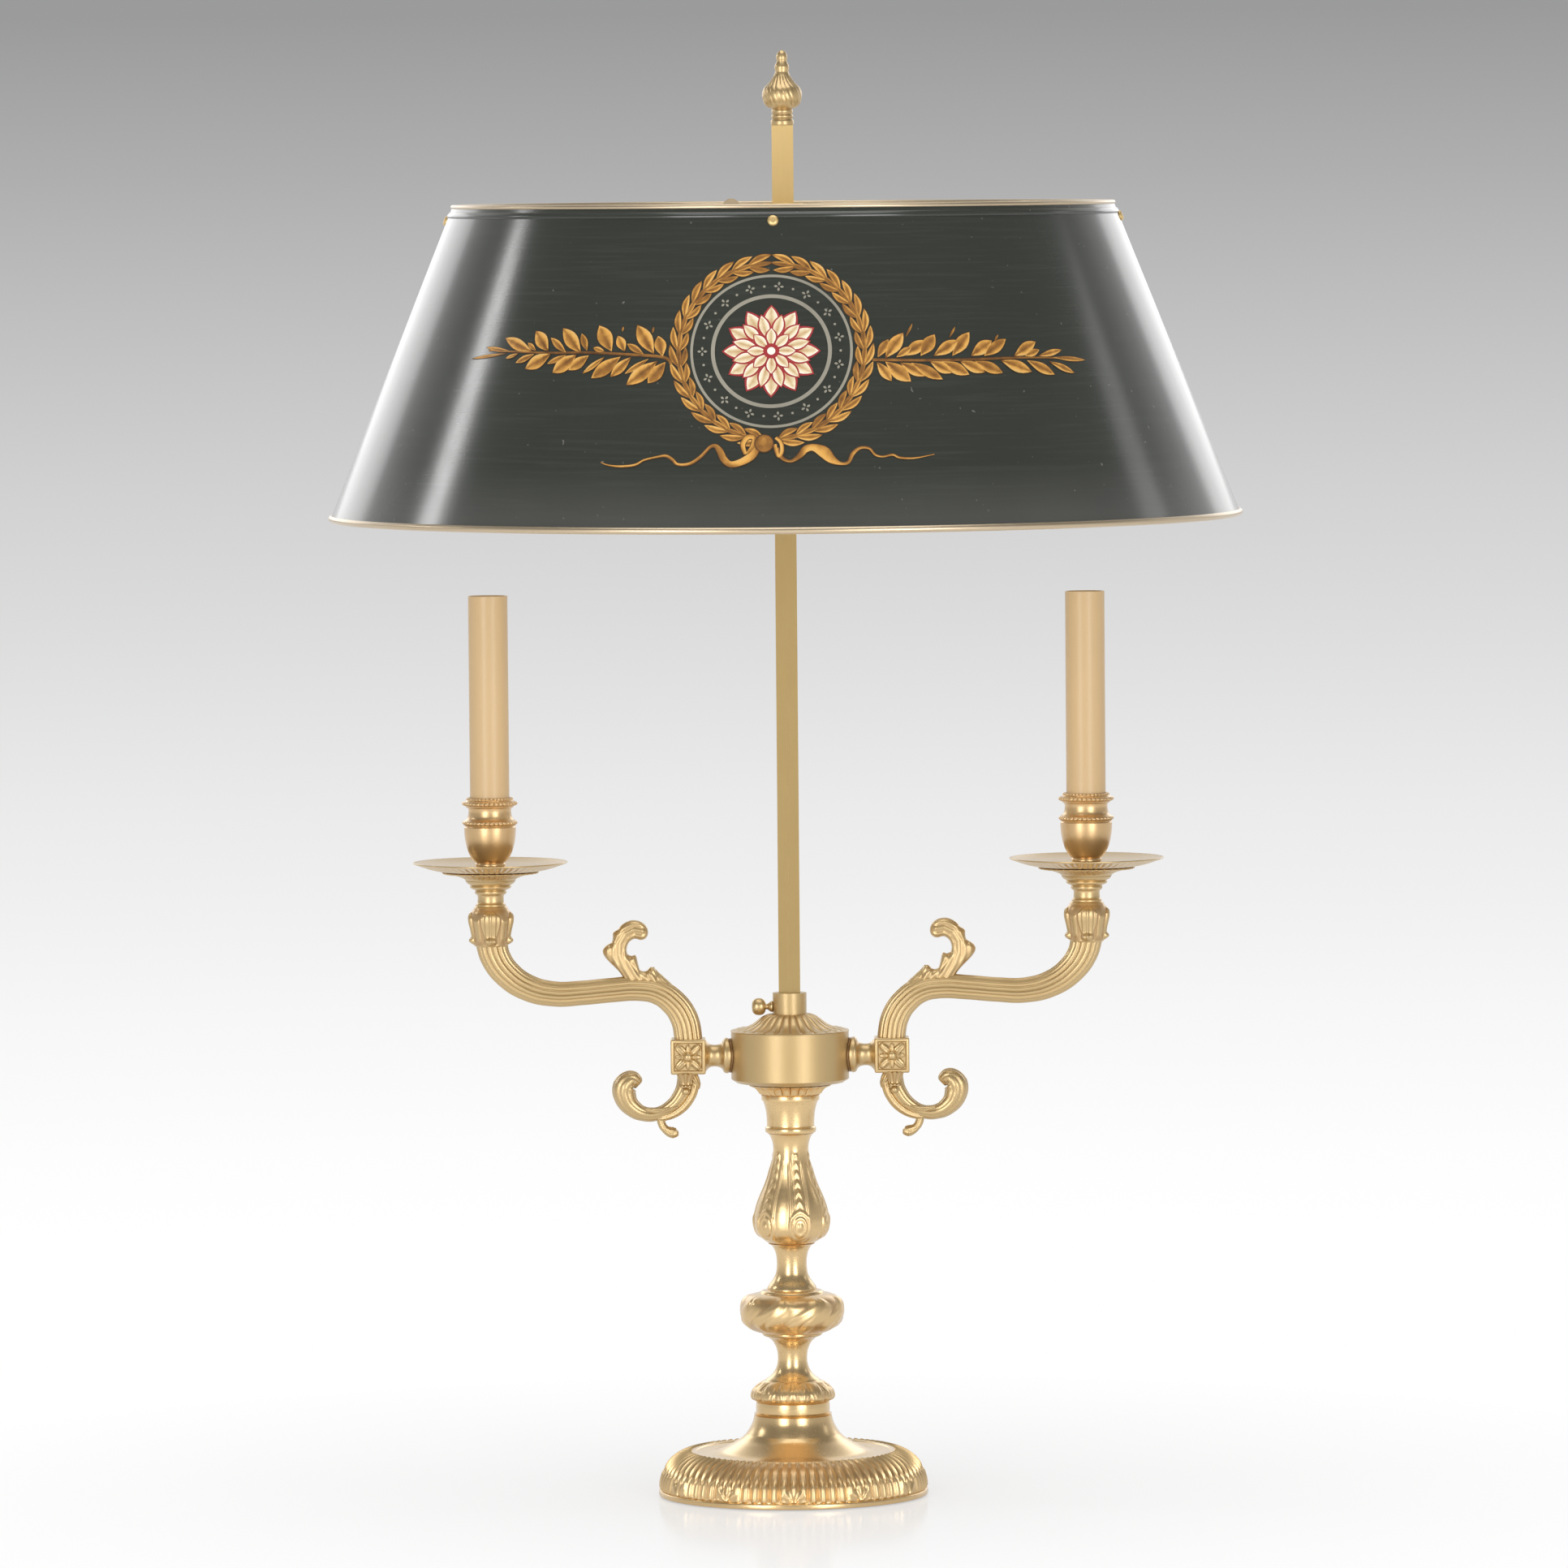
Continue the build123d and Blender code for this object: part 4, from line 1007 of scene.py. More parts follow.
# (x, aside, z, radius) of sweeps, in mm
ARM_LINE = (
    (57, 0, 252, 7.9), (57, 0, 258, 7.9), (59.4, 0, 269.0, 7.8), (65.6, 0, 277.8, 7.5),
    (74.0, 0, 283.4, 7.2), (84.0, 0, 285.2, 7.0), (100, 0, 284.4, 6.9), (116, 0, 283.0, 6.9),
    (132, 0, 282.6, 7.1), (146.5, 0, 286.2, 7.5), (157.8, 0, 294.0, 8.0), (164.4, 0, 303.6, 8.5),
    (166.7, 0, 312.8, 9.0),
)
BUD_LINE = (
    (60.5, 0, 270.5, 2.4), (63.6, 0, 278.4, 3.0), (68.6, 0, 285.6, 3.4), (73.2, 0, 290.6, 2.9),
    (75.6, 0, 294.6, 1.8), (76.2, 0, 297.2, 0.5),
)
SCROLL_LINE = (
    (58, 0, 240, 5.4), (58.2, 0, 232, 5.4), (61.2, 0, 224.8, 4.8), (67.0, 0, 218.4, 4.2),
    (74.4, 0, 214.8, 3.8), (82.0, 0, 214.8, 4.2), (88.4, 0, 218.2, 5.2), (92.4, 0, 224.0, 6.3),
    (92.6, 0, 230.2, 6.9), (89.0, 0, 233.4, 6.0), (86.4, 0, 232.6, 4.6), (84.8, 0, 231.0, 2.6),
)
PENDANT_LINE = (
    (72.4, 0, 213.4, 2.6), (72.2, 0, 209.4, 2.3), (70.2, 0, 206.2, 2.3), (67.6, 0, 204.6, 3.0),
    (65.8, 0, 204.2, 3.3), (63.6, 0, 204.6, 2.4), (62.9, 0, 204.9, 0.5),
)
# leaves on both flanks of the scroll: name, sweep, steps
SCROLL_LEAVES = (
    ("scroll_tip", ((55.4, 2.6, 238.0, 2.8), (53.0, 3.2, 233.6, 2.3), (51.6, 3.0, 230.6, 1.5),
                    (51.2, 2.8, 228.8, 0.5)), 5),
    ("scroll_leaf", ((54.2, 1.4, 237, 2.4), (53.6, 2.4, 230.4, 2.6), (56.6, 2.8, 222.6, 2.6),
                     (62.6, 2.4, 216.4, 2.5), (70.6, 1.6, 212.8, 2.0), (77.6, 1.0, 212.4, 0.9)), 6),
    ("scroll_wrap", ((63.0, 3.6, 219.0, 0.9), (68.6, 3.8, 217.4, 1.5), (74.6, 3.4, 216.6, 1.6),
                     (81.0, 3.2, 217.4, 0.8)), 5),
)
# (x, z) of the leaf on top of the arm, in mm
LEAF_RIM = (
    (72.0, 287.5), (73.6, 293.2), (75.6, 296.6), (77.8, 297.2), (79.4, 295.6), (81.4, 294.8),
    (83.6, 295.8), (84.8, 299.9), (85.9, 304.0), (88.2, 303.6), (90.4, 304.6), (90.9, 307.6),
    (89.6, 311.2), (86.4, 313.2), (83.0, 312.4), (80.2, 313.4), (78.8, 316.2), (79.8, 320.2),
    (83.0, 322.8), (87.2, 323.6), (90.8, 322.8), (94.1, 320.7), (95.6, 318.6), (98.4, 316.8),
    (98.6, 313.8), (99.4, 311.2), (102.6, 309.4), (104.4, 306.4), (102.8, 302.6), (98.6, 298.2),
    (94.2, 293.4), (91.5, 288.0), (90.5, 283.5), (78.0, 281.0),
)
LEAF_SPINE = (
    (84.0, 285.0), (88.6, 291.0), (92.6, 297.6), (95.0, 304.0), (94.8, 310.4), (91.6, 316.0),
    (86.4, 318.6), (81.6, 317.6),
)


class LAMP_OT_arms(Operator):
    """Sweep the reeded arms, with their flanges, rosette boxes, leaves and scrolls"""

    bl_idname = "lamp.arms"
    bl_label = "Arms"

    def execute(self, context):
        reeded = section(sizes().arm_reeds, sizes().reed_depth)
        leafy = section(7, 0.2, each=6)
        hooked = section(8, 0.07)
        forms = [
            sweep("arm_reeds", ARM_LINE, reeded, 10),
            cast_leaf("upper_leaf", LEAF_RIM, LEAF_SPINE, full=4.0, swell=3.6, rib=0.34, rib_gap=3.3),
            sweep("leaf_bud", BUD_LINE, hooked, 6),
            sweep("scroll", SCROLL_LINE, hooked, 8),
        ]
        for side in (-1, 1):
            for name, line, steps in SCROLL_LEAVES:
                forms.append(sweep(name, [(x, side * y, z, r) for x, y, z, r in line], leafy, steps))
        forms.append(sweep("pendant", PENDANT_LINE, leafy, 6))
        forms += [*self.husks(), self.flange(), *self.box(leafy)]
        arm = join(*forms)
        drop(reeded, leafy, hooked)
        polish(arm, 50)
        twin = mirrored(arm)
        polish(twin, 50)
        finish_piece(arm, "arm_right_form", "lamp", "cast_brass", finish("arm_carved"), "arm_right")
        finish_piece(twin, "arm_left_form", "lamp", "cast_brass", finish("arm_carved"), "arm_left")
        return {"FINISHED"}

    def husks(self):
        """The two small husks under the front and the back of the box."""
        husk = turn("husk", outline(
            [(0.4, -21.4), (1.7, -21.1), (2.4, -19.6), (2.0, -18.2), (1.2, -17.5)],
            [(3.5, -17.1), (3.6, -16.2), (2.9, -15.6), (3.0, -14.0), (3.8, -12.0), (5.2, -9.4)],
            [(0.4, -9.3)]), 60)
        carve(husk, lambda turns, z, radii: band(z, -17.2, -8.0, 1.0) * 0.35 * np.cos(turns * 9))
        settle(husk, ((BOX_X + 1.4) * MM, -6.0 * MM, BOX_Z * MM))
        return husk, settle(copy(husk), (0, 12.0 * MM, 0))

    def flange(self):
        """The bell-shaped flange against the drum, and the neck to the box."""
        flange = turn("flange", outline(
            [(5.3, 34.2), (9.4, 34.2)],
            [(9.9, 34.8), (9.9, 36.2), (9.2, 37.2)],
            [(7.6, 38.0), (6.5, 39.6), (6.1, 41.6), (6.2, 43.8), (6.9, 45.4), (8.2, 46.6), (9.2, 47.4)],
            [(2.0, 48.0)]), 64)
        settle(flange, (0, 0, BOX_Z * MM), (0, pi / 2, 0))
        return saddle(flange, 35.0 * MM)

    def box(self, leafy):
        """The box with a framed rosette on its front and back."""
        deselect()
        bpy.ops.mesh.primitive_cube_add(size=BOX_W * MM, location=(BOX_X * MM, 0, BOX_Z * MM))
        block = settle(bpy.context.object)
        edit_all(block)
        bpy.ops.mesh.bevel(offset=0.9 * MM, segments=3, affect="EDGES")
        leave_edit()
        edit_faces(block, lambda face: abs(face.normal.y) > 0.99 and face.area > 1e-5)
        bpy.ops.mesh.inset(thickness=0.9 * MM, depth=0)
        bpy.ops.mesh.inset(thickness=0.5 * MM, depth=-0.8 * MM)
        leave_edit()
        parts = [block]
        for y in (-1, 1):
            face_y = y * (BOX_W / 2 - 0.5)
            for n in range(ROSETTE_PETALS):
                angle = tau * n / ROSETTE_PETALS
                long, wide = (9.6, 2.5) if n % 2 else (7.2, 1.5)
                ray = [(1.6, 0.9), (long * 0.4, wide), (long * 0.75, wide * 0.95),
                       (long * 0.94, wide * 0.6), (long, 0.3)]
                petal = sweep("petal", [
                    (BOX_X + out * cos(angle), 0, BOX_Z + out * sin(angle), r) for out, r in ray
                ], leafy, 4)
                petal.scale.y = 0.8
                parts.append(settle(petal, (0, (face_y - y * 0.2) * MM, 0)))
            button = turn("button", outline(
                [(2.2, -0.6), (2.6, 0.6), (2.2, 1.7), (1.2, 2.4), (0.2, 2.6)]), 24)
            parts.append(settle(button, (BOX_X * MM, face_y * MM, BOX_Z * MM), (-y * pi / 2, 0, 0)))
        return parts


class LAMP_OT_washers(Operator):
    """Cut the thin saddle washers between the drum and the arms"""

    bl_idname = "lamp.washers"
    bl_label = "Arm washers"

    def execute(self, context):
        ring = turn("washer", outline(
            [(5.3, 33.1), (9.5, 33.1)],
            [(9.7, 33.4), (9.7, 33.9), (9.5, 34.1)],
            [(5.3, 34.1)]), 64)
        saddle(settle(ring, (0, 0, BOX_Z * MM), (0, pi / 2, 0)))
        pair = join(ring, mirrored(ring))
        finish_piece(
            polish(pair), "arm_washers_form", "lamp", "bronzed_washer", finish("washer"), "arm_washers"
        )
        return {"FINISHED"}


# ------------------------------------------------------------------ candle groups
CANDLE_X = 166.7  # mm, from the lamp's axis to a candle's
CALYX_LEAVES = 4
CALYX_RADIUS = 11  # mm, where the leaves are laid out
SCALLOPS = 36
DISH_RIBS = 60


def both_candles(obj, name, slot, finish_name):
    """Stand a piece, made on Z, at both candles."""
    for side, word in SIDES:
        twin = copy(obj)
        twin.location.x = side * CANDLE_X * MM
        settle(twin)
        finish_piece(polish(twin), f"{name}_{word}_form", "lamp", slot, finish(finish_name), f"{name}_{word}")
    drop(obj)


class LAMP_OT_calyxes(Operator):
    """Turn and carve the leaf calyxes under the saucers"""

    bl_idname = "lamp.calyxes"
    bl_label = "Calyxes"

    def execute(self, context):
        calyx = turn("calyx", outline(
            [(CORE, 309.6), (8.8, 309.6)],
            [(9.6, 310.6), (9.9, 313.0), (10.3, 316.0), (11.0, 319.6), (11.9, 323.4), (12.0, 326.0),
             (11.2, 328.8), (9.8, 331.0), (8.4, 332.4)],
            [(8.3, 333.2), (7.4, 334.4), (7.3, 337.6), (7.7, 338.6)],
            [(8.6, 339.2), (8.9, 340.2), (8.5, 341.2)],
            [(10.6, 342.0), (11.6, 343.0), (11.2, 344.0)],
            [(13.0, 345.0), (14.0, 346.4)],
            [(CORE, 346.5)],
            steps=6), CALYX_LEAVES * 60)

        def depth(turns, z, radii):
            """Ribbed leaves with a ball below each, and a plain one between them."""
            tongue = lobes(turns, CALYX_LEAVES, 0.5) * pi / CALYX_LEAVES * CALYX_RADIUS
            half = (3.6 + 2.2 * np.clip((z - 312) / 10, 0, 1)) * np.sqrt(np.clip((330.4 - z) / 5.0, 0, 1))
            inside = np.clip((half - np.abs(tongue)) / 1.0, 0, 1)
            inside = inside * inside * (3 - 2 * inside) * band(z, 310.6, 330.0, 3.0)
            ribs = 0.28 * np.cos(tongue * tau / 2.3)
            ball = 1.9 * np.sqrt(hill(np.hypot(tongue / 1.7, z - 312.6), 2.6))
            small = lobes(turns, CALYX_LEAVES) * pi / CALYX_LEAVES * CALYX_RADIUS
            beside = 0.5 * dome(small / 2.3) * band(z, 312.0, 326.0, 2.5)
            return band(z, 309.8, 332.0, 1.6) * (inside * (0.9 + ribs) + ball + beside * (1 - inside) - 0.35)

        carve(calyx, depth)
        both_candles(calyx, "calyx", "cast_brass", "arm_carved")
        return {"FINISHED"}


class LAMP_OT_saucers(Operator):
    """Turn and scallop the saucers under the drip dishes"""

    bl_idname = "lamp.saucers"
    bl_label = "Saucers"

    def execute(self, context):
        saucer = turn("saucer", outline(
            [(CORE, 346.5), (13.9, 346.5)],
            [(14.8, 347.6), (17.0, 348.8), (20.4, 349.8), (23.8, 350.3), (26.4, 350.6)],
            [(26.9, 351.1), (26.4, 351.5)],
            [(CORE, 351.5)]), SCALLOPS * 8)

        def depth(turns, z, radii):
            """Scallops round the rim and under it."""
            rim = band(radii, 14.5, 30, 2.0) * band(z, 340, 351.4, 0.2)
            return rim * (0.7 * dome(lobes(turns, SCALLOPS)) - 0.5)

        carve(saucer, depth)
        both_candles(saucer, "saucer", "cast_brass", "arm_carved")
        return {"FINISHED"}


class LAMP_OT_dishes(Operator):
    """Turn the drip dishes, ribbed underneath"""

    bl_idname = "lamp.dishes"
    bl_label = "Drip dishes"

    def execute(self, context):
        dish = turn("dish", outline(
            [(CORE, 351.6), (20.0, 351.6)],
            [(25.0, 351.7), (30.0, 352.3), (35.0, 353.5), (39.5, 355.0), (42.6, 356.0)],
            [(43.2, 356.4), (43.1, 356.9), (42.5, 356.9)],
            [(38.0, 355.7), (32.0, 354.6), (24.0, 354.0), (16.0, 353.9), (10.0, 354.0)],
            [(CORE, 354.0)],
            steps=5), DISH_RIBS * 6)

        def depth(turns, z, radii):
            """Fine ribs underneath."""
            underneath = z < 352.0 + np.clip(radii - 26.8, 0, 20) ** 1.25 * 0.16
            return band(radii, 25.5, 42.6, 1.5) * underneath * 0.35 * (dome(lobes(turns, DISH_RIBS)) - 0.75)

        carve(dish, depth)
        both_candles(dish, "drip_dish", "turned_brass", "dish")
        return {"FINISHED"}


class LAMP_OT_cups(Operator):
    """Turn the candle cups with their two beaded rims"""

    bl_idname = "lamp.cups"
    bl_label = "Candle cups"

    def execute(self, context):
        beads = sizes().cup_beads
        cup = turn("cup", outline(
            [(CORE, 354.1), (7.9, 354.1)],
            [(8.5, 354.8), (8.5, 355.8), (8.0, 356.6)],
            [(9.4, 357.7), (10.9, 359.8), (12.4, 363.0), (13.6, 367.2), (14.3, 371.8), (14.5, 376.4)],
            [(14.0, 377.2), (14.6, 377.8), (15.3, 378.8), (14.9, 379.8), (13.9, 380.4)],
            [(12.8, 381.4), (12.2, 383.0), (11.9, 385.4), (12.2, 387.2)],
            [(13.2, 387.6), (13.6, 388.4)],
            [(14.8, 388.8), (15.5, 389.7), (15.0, 390.6), (14.1, 391.0)],
            [(13.2, 391.4), (12.9, 391.9)],
            [(13.1, 392.4), (12.6, 393.0), (11.9, 393.0)],
            [(11.4, 393.0)],
            [(11.35, 388.6)],
            [(5.2, 388.6)]), beads * 8)

        def depth(turns, z, radii):
            """Beads round both rims, and smaller ones round the lip."""
            bead = dome(lobes(turns, beads)) - 0.8
            low = hill(z - 378.8, 1.4) * (radii > 13.9)
            high = hill(z - 389.7, 1.4) * (radii > 13.9)
            top = 0.7 * hill(z - 392.4, 0.9) * (radii > 11.8)
            return 0.85 * bead * (low + high + top)

        carve(cup, depth)
        both_candles(cup, "candle_cup", "cast_brass", "cup")
        return {"FINISHED"}


# ------------------------------------------------------------------ painting on the shade
def shade_cone():
    """Lower radius and height, upper radius and height of the shade's outer face, in mm."""
    low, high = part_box("shade_shell")
    points = points_of(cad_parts["shade_shell"])
    radii = np.hypot(points[:, 0], points[:, 1])
    top = radii[points[:, 2] > high.z - 1e-4].max()
    return high.x / MM, low.z / MM, top / MM, high.z / MM


# the painting, in mm on the shade from the wreath's centre
PAINT_CENTRE_Z = 645.1
PAINT_CENTRE_TURN = radians(-1.87)
WREATH_RADIUS = 50.6
OUTER_RING, INNER_RING = (43.3, 1.5), (31.6, 2.1)  # radius and width
BORDER_RADIUS = 37.4
BORDER_COUNT = 15
KNOT = (-3.6, 52.9)


class Painting:
    """Flat shapes in mm across and down from the painting's centre, laid on the shade's cone."""

    def __init__(self, name, finish_name):
        self.name = name
        self.finish_name = finish_name
        self.points = []
        self.faces = []
        self.tones = []
        low_r, low_z, top_r, top_z = shade_cone()
        self.slope = (low_r - top_r) / (top_z - low_z)
        self.top = (top_r, top_z)
        self.tilt = atan(self.slope)

    def on_shade(self, across, down, lift):
        """The place of a point on the cone, lifted off it."""
        z = PAINT_CENTRE_Z - down * cos(self.tilt)
        radius = self.top[0] + self.slope * (self.top[1] - z)
        angle = PAINT_CENTRE_TURN + across / radius
        out = radius + lift * cos(self.tilt)
        return (out * sin(angle) * MM, -out * cos(angle) * MM, (z + lift * sin(self.tilt)) * MM)

    def strip(self, rows, lift):
        """Lay down rows of (across, down, tone) points, each row joined to the next."""
        start = len(self.points)
        wide = len(rows[0])
        for row in rows:
            for across, down, tone in row:
                self.points.append(self.on_shade(across, down, lift))
                self.tones.append(tone)
        for n in range(len(rows) - 1):
            for m in range(wide - 1):
                corner = start + n * wide + m
                self.faces.append((corner, corner + wide, corner + wide + 1, corner + 1))

    def leaf(self, base, tip, width, lift, light, edge, bow=0.0):
        """A pointed leaf with a dark outline and midrib, lighter on one side."""
        along = Vector((tip[0] - base[0], tip[1] - base[1]))
        aside = Vector((-along.y, along.x)).normalized()
        stations = 8
        for grow, level, tones in ((edge, 0.0, (0.0, 0.0, 0.0)), (0.0, 0.07, (light, 0.18, light * 0.72))):
            rows = []
            for n in range(stations + 1):
                t = n / stations
                reach = t * (1 + 0.03 * (grow > 0)) - 0.01 * (grow > 0)
                if 0 < t < 1:
                    half = (width / 2) * sin(pi * t**1.15) ** 0.95 + grow
                else:
                    half = grow * 0.3
                middle = Vector(base) + along * reach + aside * (bow * width * sin(pi * t))
                left, right = middle + aside * half, middle - aside * half
                shine = 0.0 if grow else 0.25 * light * t
                rows.append([(*left, tones[0]), (*middle, tones[1] + shine), (*right, tones[2])])
            self.strip(rows, lift + level)

    def ribbon(self, line, lift, edge=0.4):
        """A ribbon along (across, down, width, tone) points, with a dark edge."""
        path = bend(line, 5)
        for grow, level in ((edge, 0.0), (0.0, 0.07)):
            rows = []
            for n, (across, down, width, tone) in enumerate(path):
                before, after = path[max(n - 1, 0)], path[min(n + 1, len(path) - 1)]
                run = Vector((after[0] - before[0], after[1] - before[1]))
                aside = Vector((-run.y, run.x)).normalized() if run.length > 1e-6 else Vector((0, 1))
                half = max(width, 0.35) / 2 + grow * min(width, 1.0)
                tones = (0.0, 0.0, 0.0) if grow else (tone, tone * 0.8, tone * 0.55)
                rows.append([
                    (across + aside.x * half, down + aside.y * half, tones[0]),
                    (across, down, tones[1]),
                    (across - aside.x * half, down - aside.y * half, tones[2]),
                ])
            self.strip(rows, lift + level)

    def ring(self, radius, width, lift, tone=1.0, centre=(0.0, 0.0), steps=160):
        """A flat ring."""
        rims = (radius - width / 2, radius + width / 2)
        rows = []
        for n in range(steps + 1):
            angle = tau * n / steps
            rows.append([(centre[0] + rim * cos(angle), centre[1] + rim * sin(angle), tone) for rim in rims])
        self.strip(rows, lift)

    def spot(self, centre, radius, lift, tone=1.0, steps=16):
        """A round spot, drawn as two rings that fill it."""
        self.ring(radius * 0.55, radius * 0.9, lift, tone, centre, steps)
        self.ring(radius * 0.06, radius * 0.12, lift, tone, centre, steps)

    def make(self):
        """Lay the strips down as one piece that rides with the shade."""
        mesh = bpy.data.meshes.new(self.name)
        mesh.from_pydata(self.points, [], self.faces)
        keep_on_points(mesh, "tone", self.tones)
        obj = bpy.data.objects.new(self.name, mesh)
        bpy.context.scene.collection.objects.link(obj)
        edit_all(obj)
        bpy.ops.mesh.dissolve_degenerate(threshold=1e-7)
        leave_edit()
        for face in mesh.polygons:
            face.select = face.normal.dot(Vector((face.center.x, face.center.y, 0))) < 0
        bpy.ops.object.mode_set(mode="EDIT")
        bpy.ops.mesh.flip_normals()
        leave_edit()
        return finish_piece(obj, self.name, "shade", "shade_paint", finish(self.finish_name))


# leaves of the branches: base across and down, tip across and down, width
LEFT_BRANCH = [
    (-59.4, 2.7, -62.0, -9.0, 6.0), (-64.4, 1.3, -74.2, -15.2, 7.7), (-70.4, 1.3, -80.0, -4.5, 3.4),
    (-81.3, -0.2, -85.6, -9.1, 5.1), (-89.1, -0.2, -97.0, -15.0, 8.1), (-93.4, -0.2, -100.5, -2.2, 2.6),
    (-104.3, -0.5, -107.9, -10.4, 3.8), (-108.1, 0.8, -120.1, -13.4, 7.7),
    (-117.8, 0.5, -128.1, -7.9, 3.8), (-129.6, -0.2, -138.8, -11.7, 7.7),
    (-138.2, -0.5, -144.1, -4.8, 2.6), (-140.6, 0.2, -161.3, -7.5, 6.0), (-156.2, 0.3, -176.3, -2.0, 2.1),
    (-160.2, 1.3, -188.0, 4.6, 1.4), (-57.8, 6.0, -67.7, 18.1, 6.4), (-62.3, 5.4, -80.0, 19.1, 7.3),
    (-67.4, 4.1, -81.1, 12.7, 2.6), (-77.6, 3.1, -89.6, 14.4, 5.1), (-83.8, 2.9, -101.2, 15.2, 6.8),
    (-93.3, 3.0, -106.7, 12.6, 2.6), (-103.1, 2.2, -115.7, 10.6, 5.6), (-110.9, 1.8, -126.1, 12.2, 7.3),
    (-117.7, 2.0, -129.8, 7.1, 2.6), (-127.7, 1.2, -145.1, 10.0, 6.8), (-139.3, 1.5, -152.4, 6.7, 3.0),
    (-150.8, 1.3, -160.2, 4.2, 1.7),
]
RIGHT_BRANCH = [
    (57.7, 4.1, 63.5, -6.0, 4.5), (61.9, 4.7, 71.9, -9.6, 6.8), (68.1, 4.3, 76.6, -1.5, 3.6),
    (72.3, 3.5, 85.2, -5.1, 6.3), (81.9, 3.7, 90.1, -8.4, 6.8), (89.4, 3.8, 104.0, -4.9, 6.3),
    (100.4, 4.0, 110.9, -9.4, 6.8), (111.7, 4.2, 124.9, -4.3, 6.8), (119.8, 4.4, 134.0, -5.0, 5.9),
    (139.2, 4.8, 154.4, -3.1, 6.3), (146.7, 5.0, 156.8, 1.6, 3.6), (155.9, 5.2, 173.4, 1.9, 3.2),
    (166.7, 6.1, 191.6, 8.2, 2.3), (57.2, 6.8, 65.4, 17.9, 5.0), (61.9, 6.8, 76.2, 18.3, 7.2),
    (70.2, 7.5, 85.0, 15.3, 5.4), (76.5, 7.6, 94.5, 17.4, 5.4), (87.2, 7.0, 100.3, 13.7, 5.4),
    (93.8, 7.1, 110.4, 14.9, 5.9), (104.9, 7.1, 120.2, 13.7, 5.4), (114.0, 7.3, 131.4, 14.3, 5.4),
    (130.5, 7.1, 150.8, 14.0, 5.9), (147.9, 7.5, 167.0, 16.0, 5.0), (163.7, 8.4, 182.3, 15.5, 3.2),
]
# stems of the branches: across, down, width, tone
LEFT_STEM = [(-54.4, 7.2, 1.6, 0.4), (-59.3, 3.2, 1.6, 0.4), (-80.7, 1.5, 1.4, 0.35),
             (-104.3, 0.5, 1.2, 0.3), (-127.1, 0.8, 1.1, 0.3), (-150.3, 0.3, 0.9, 0.4),
             (-174.6, -0.3, 0.5, 0.6)]
RIGHT_STEM = [(54.9, 5.5, 1.5, 0.4), (70.2, 5.9, 1.4, 0.4), (91.6, 6.3, 1.3, 0.3), (116.3, 6.1, 1.2, 0.3),
              (140.4, 5.7, 1.0, 0.35), (166.7, 6.3, 0.8, 0.4), (186.0, 7.8, 0.6, 0.5)]
# sprigs between the leaves: base, tip
SPRIGS = [((73.5, -7.4), (77.2, -14.9)), ((98.6, -6.4), (102.4, -12.8)), ((126.7, -4.3), (129.2, -7.7)),
          ((-65.5, -10.5), (-64.7, -14.3)), ((-83.0, -11.6), (-82.5, -14.4))]
# the ribbon: across, down, width, tone
LEFT_TAIL = [(-7.0, 55.0, 3.0, 0.5), (-10.4, 60.0, 4.2, 0.8), (-16.3, 63.6, 3.6, 0.9),
             (-21.7, 64.6, 3.2, 0.7), (-25.2, 61.6, 3.4, 0.6), (-27.4, 57.0, 3.2, 0.5),
             (-29.8, 54.2, 2.0, 0.5), (-33.0, 55.0, 1.3, 0.5), (-37.9, 60.3, 1.4, 0.6),
             (-43.8, 64.2, 1.4, 0.7), (-50.3, 64.6, 1.2, 0.7), (-53.4, 61.8, 1.4, 0.5),
             (-56.9, 59.8, 1.3, 0.6), (-61.0, 60.2, 0.9, 0.7), (-69.1, 62.1, 0.8, 0.7),
             (-74.4, 64.9, 1.0, 0.8), (-82.9, 65.8, 0.9, 0.8), (-90.1, 65.1, 0.6, 0.7),
             (-94.3, 63.6, 0.3, 0.7)]
RIGHT_TAIL = [(3.2, 55.6, 2.0, 0.6), (6.1, 61.2, 1.6, 0.5), (10.9, 63.1, 1.2, 0.5), (15.8, 59.8, 2.6, 0.5),
              (18.6, 56.4, 3.6, 0.8), (22.8, 55.4, 3.8, 0.9), (28.4, 58.0, 6.2, 0.8),
              (32.3, 62.0, 4.6, 0.8), (37.2, 64.6, 1.6, 0.7), (41.6, 64.1, 1.4, 0.6),
              (44.1, 59.2, 1.8, 0.6), (48.0, 56.0, 1.3, 0.6), (53.0, 56.3, 1.0, 0.6),
              (56.4, 60.0, 0.9, 0.6), (60.4, 61.1, 0.8, 0.6), (65.9, 60.1, 0.9, 0.7),
              (69.9, 61.8, 0.9, 0.7), (78.2, 62.2, 0.7, 0.7), (89.4, 60.2, 0.3, 0.7)]
LEFT_LOOP = [(-13.6, 59.0, 1.6, 0.8), (-15.0, 53.5, 2.4, 0.9), (-12.6, 49.4, 2.6, 0.9),
             (-9.0, 49.6, 2.2, 0.8), (-9.8, 54.6, 2.2, 0.7), (-12.6, 58.6, 1.6, 0.7)]
RIGHT_LOOP = [(2.6, 49.6, 1.6, 0.8), (5.4, 52.4, 1.8, 0.9), (6.0, 57.4, 1.8, 0.9), (4.4, 60.4, 1.4, 0.8),
              (3.0, 57.4, 1.6, 0.7), (2.2, 53.4, 1.6, 0.7)]
# the three leaves that grow from each point of the wreath:
# outward, width, light, degrees along the wreath, bow, lift
WREATH_LEAVES = (
    (4.9, 3.6, 0.98, 15.0, 0.3, 0.0), (-3.9, 3.2, 0.8, 14.0, -0.3, 0.0), (0.5, 2.5, 0.66, 16.0, 0.0, 0.02),
)
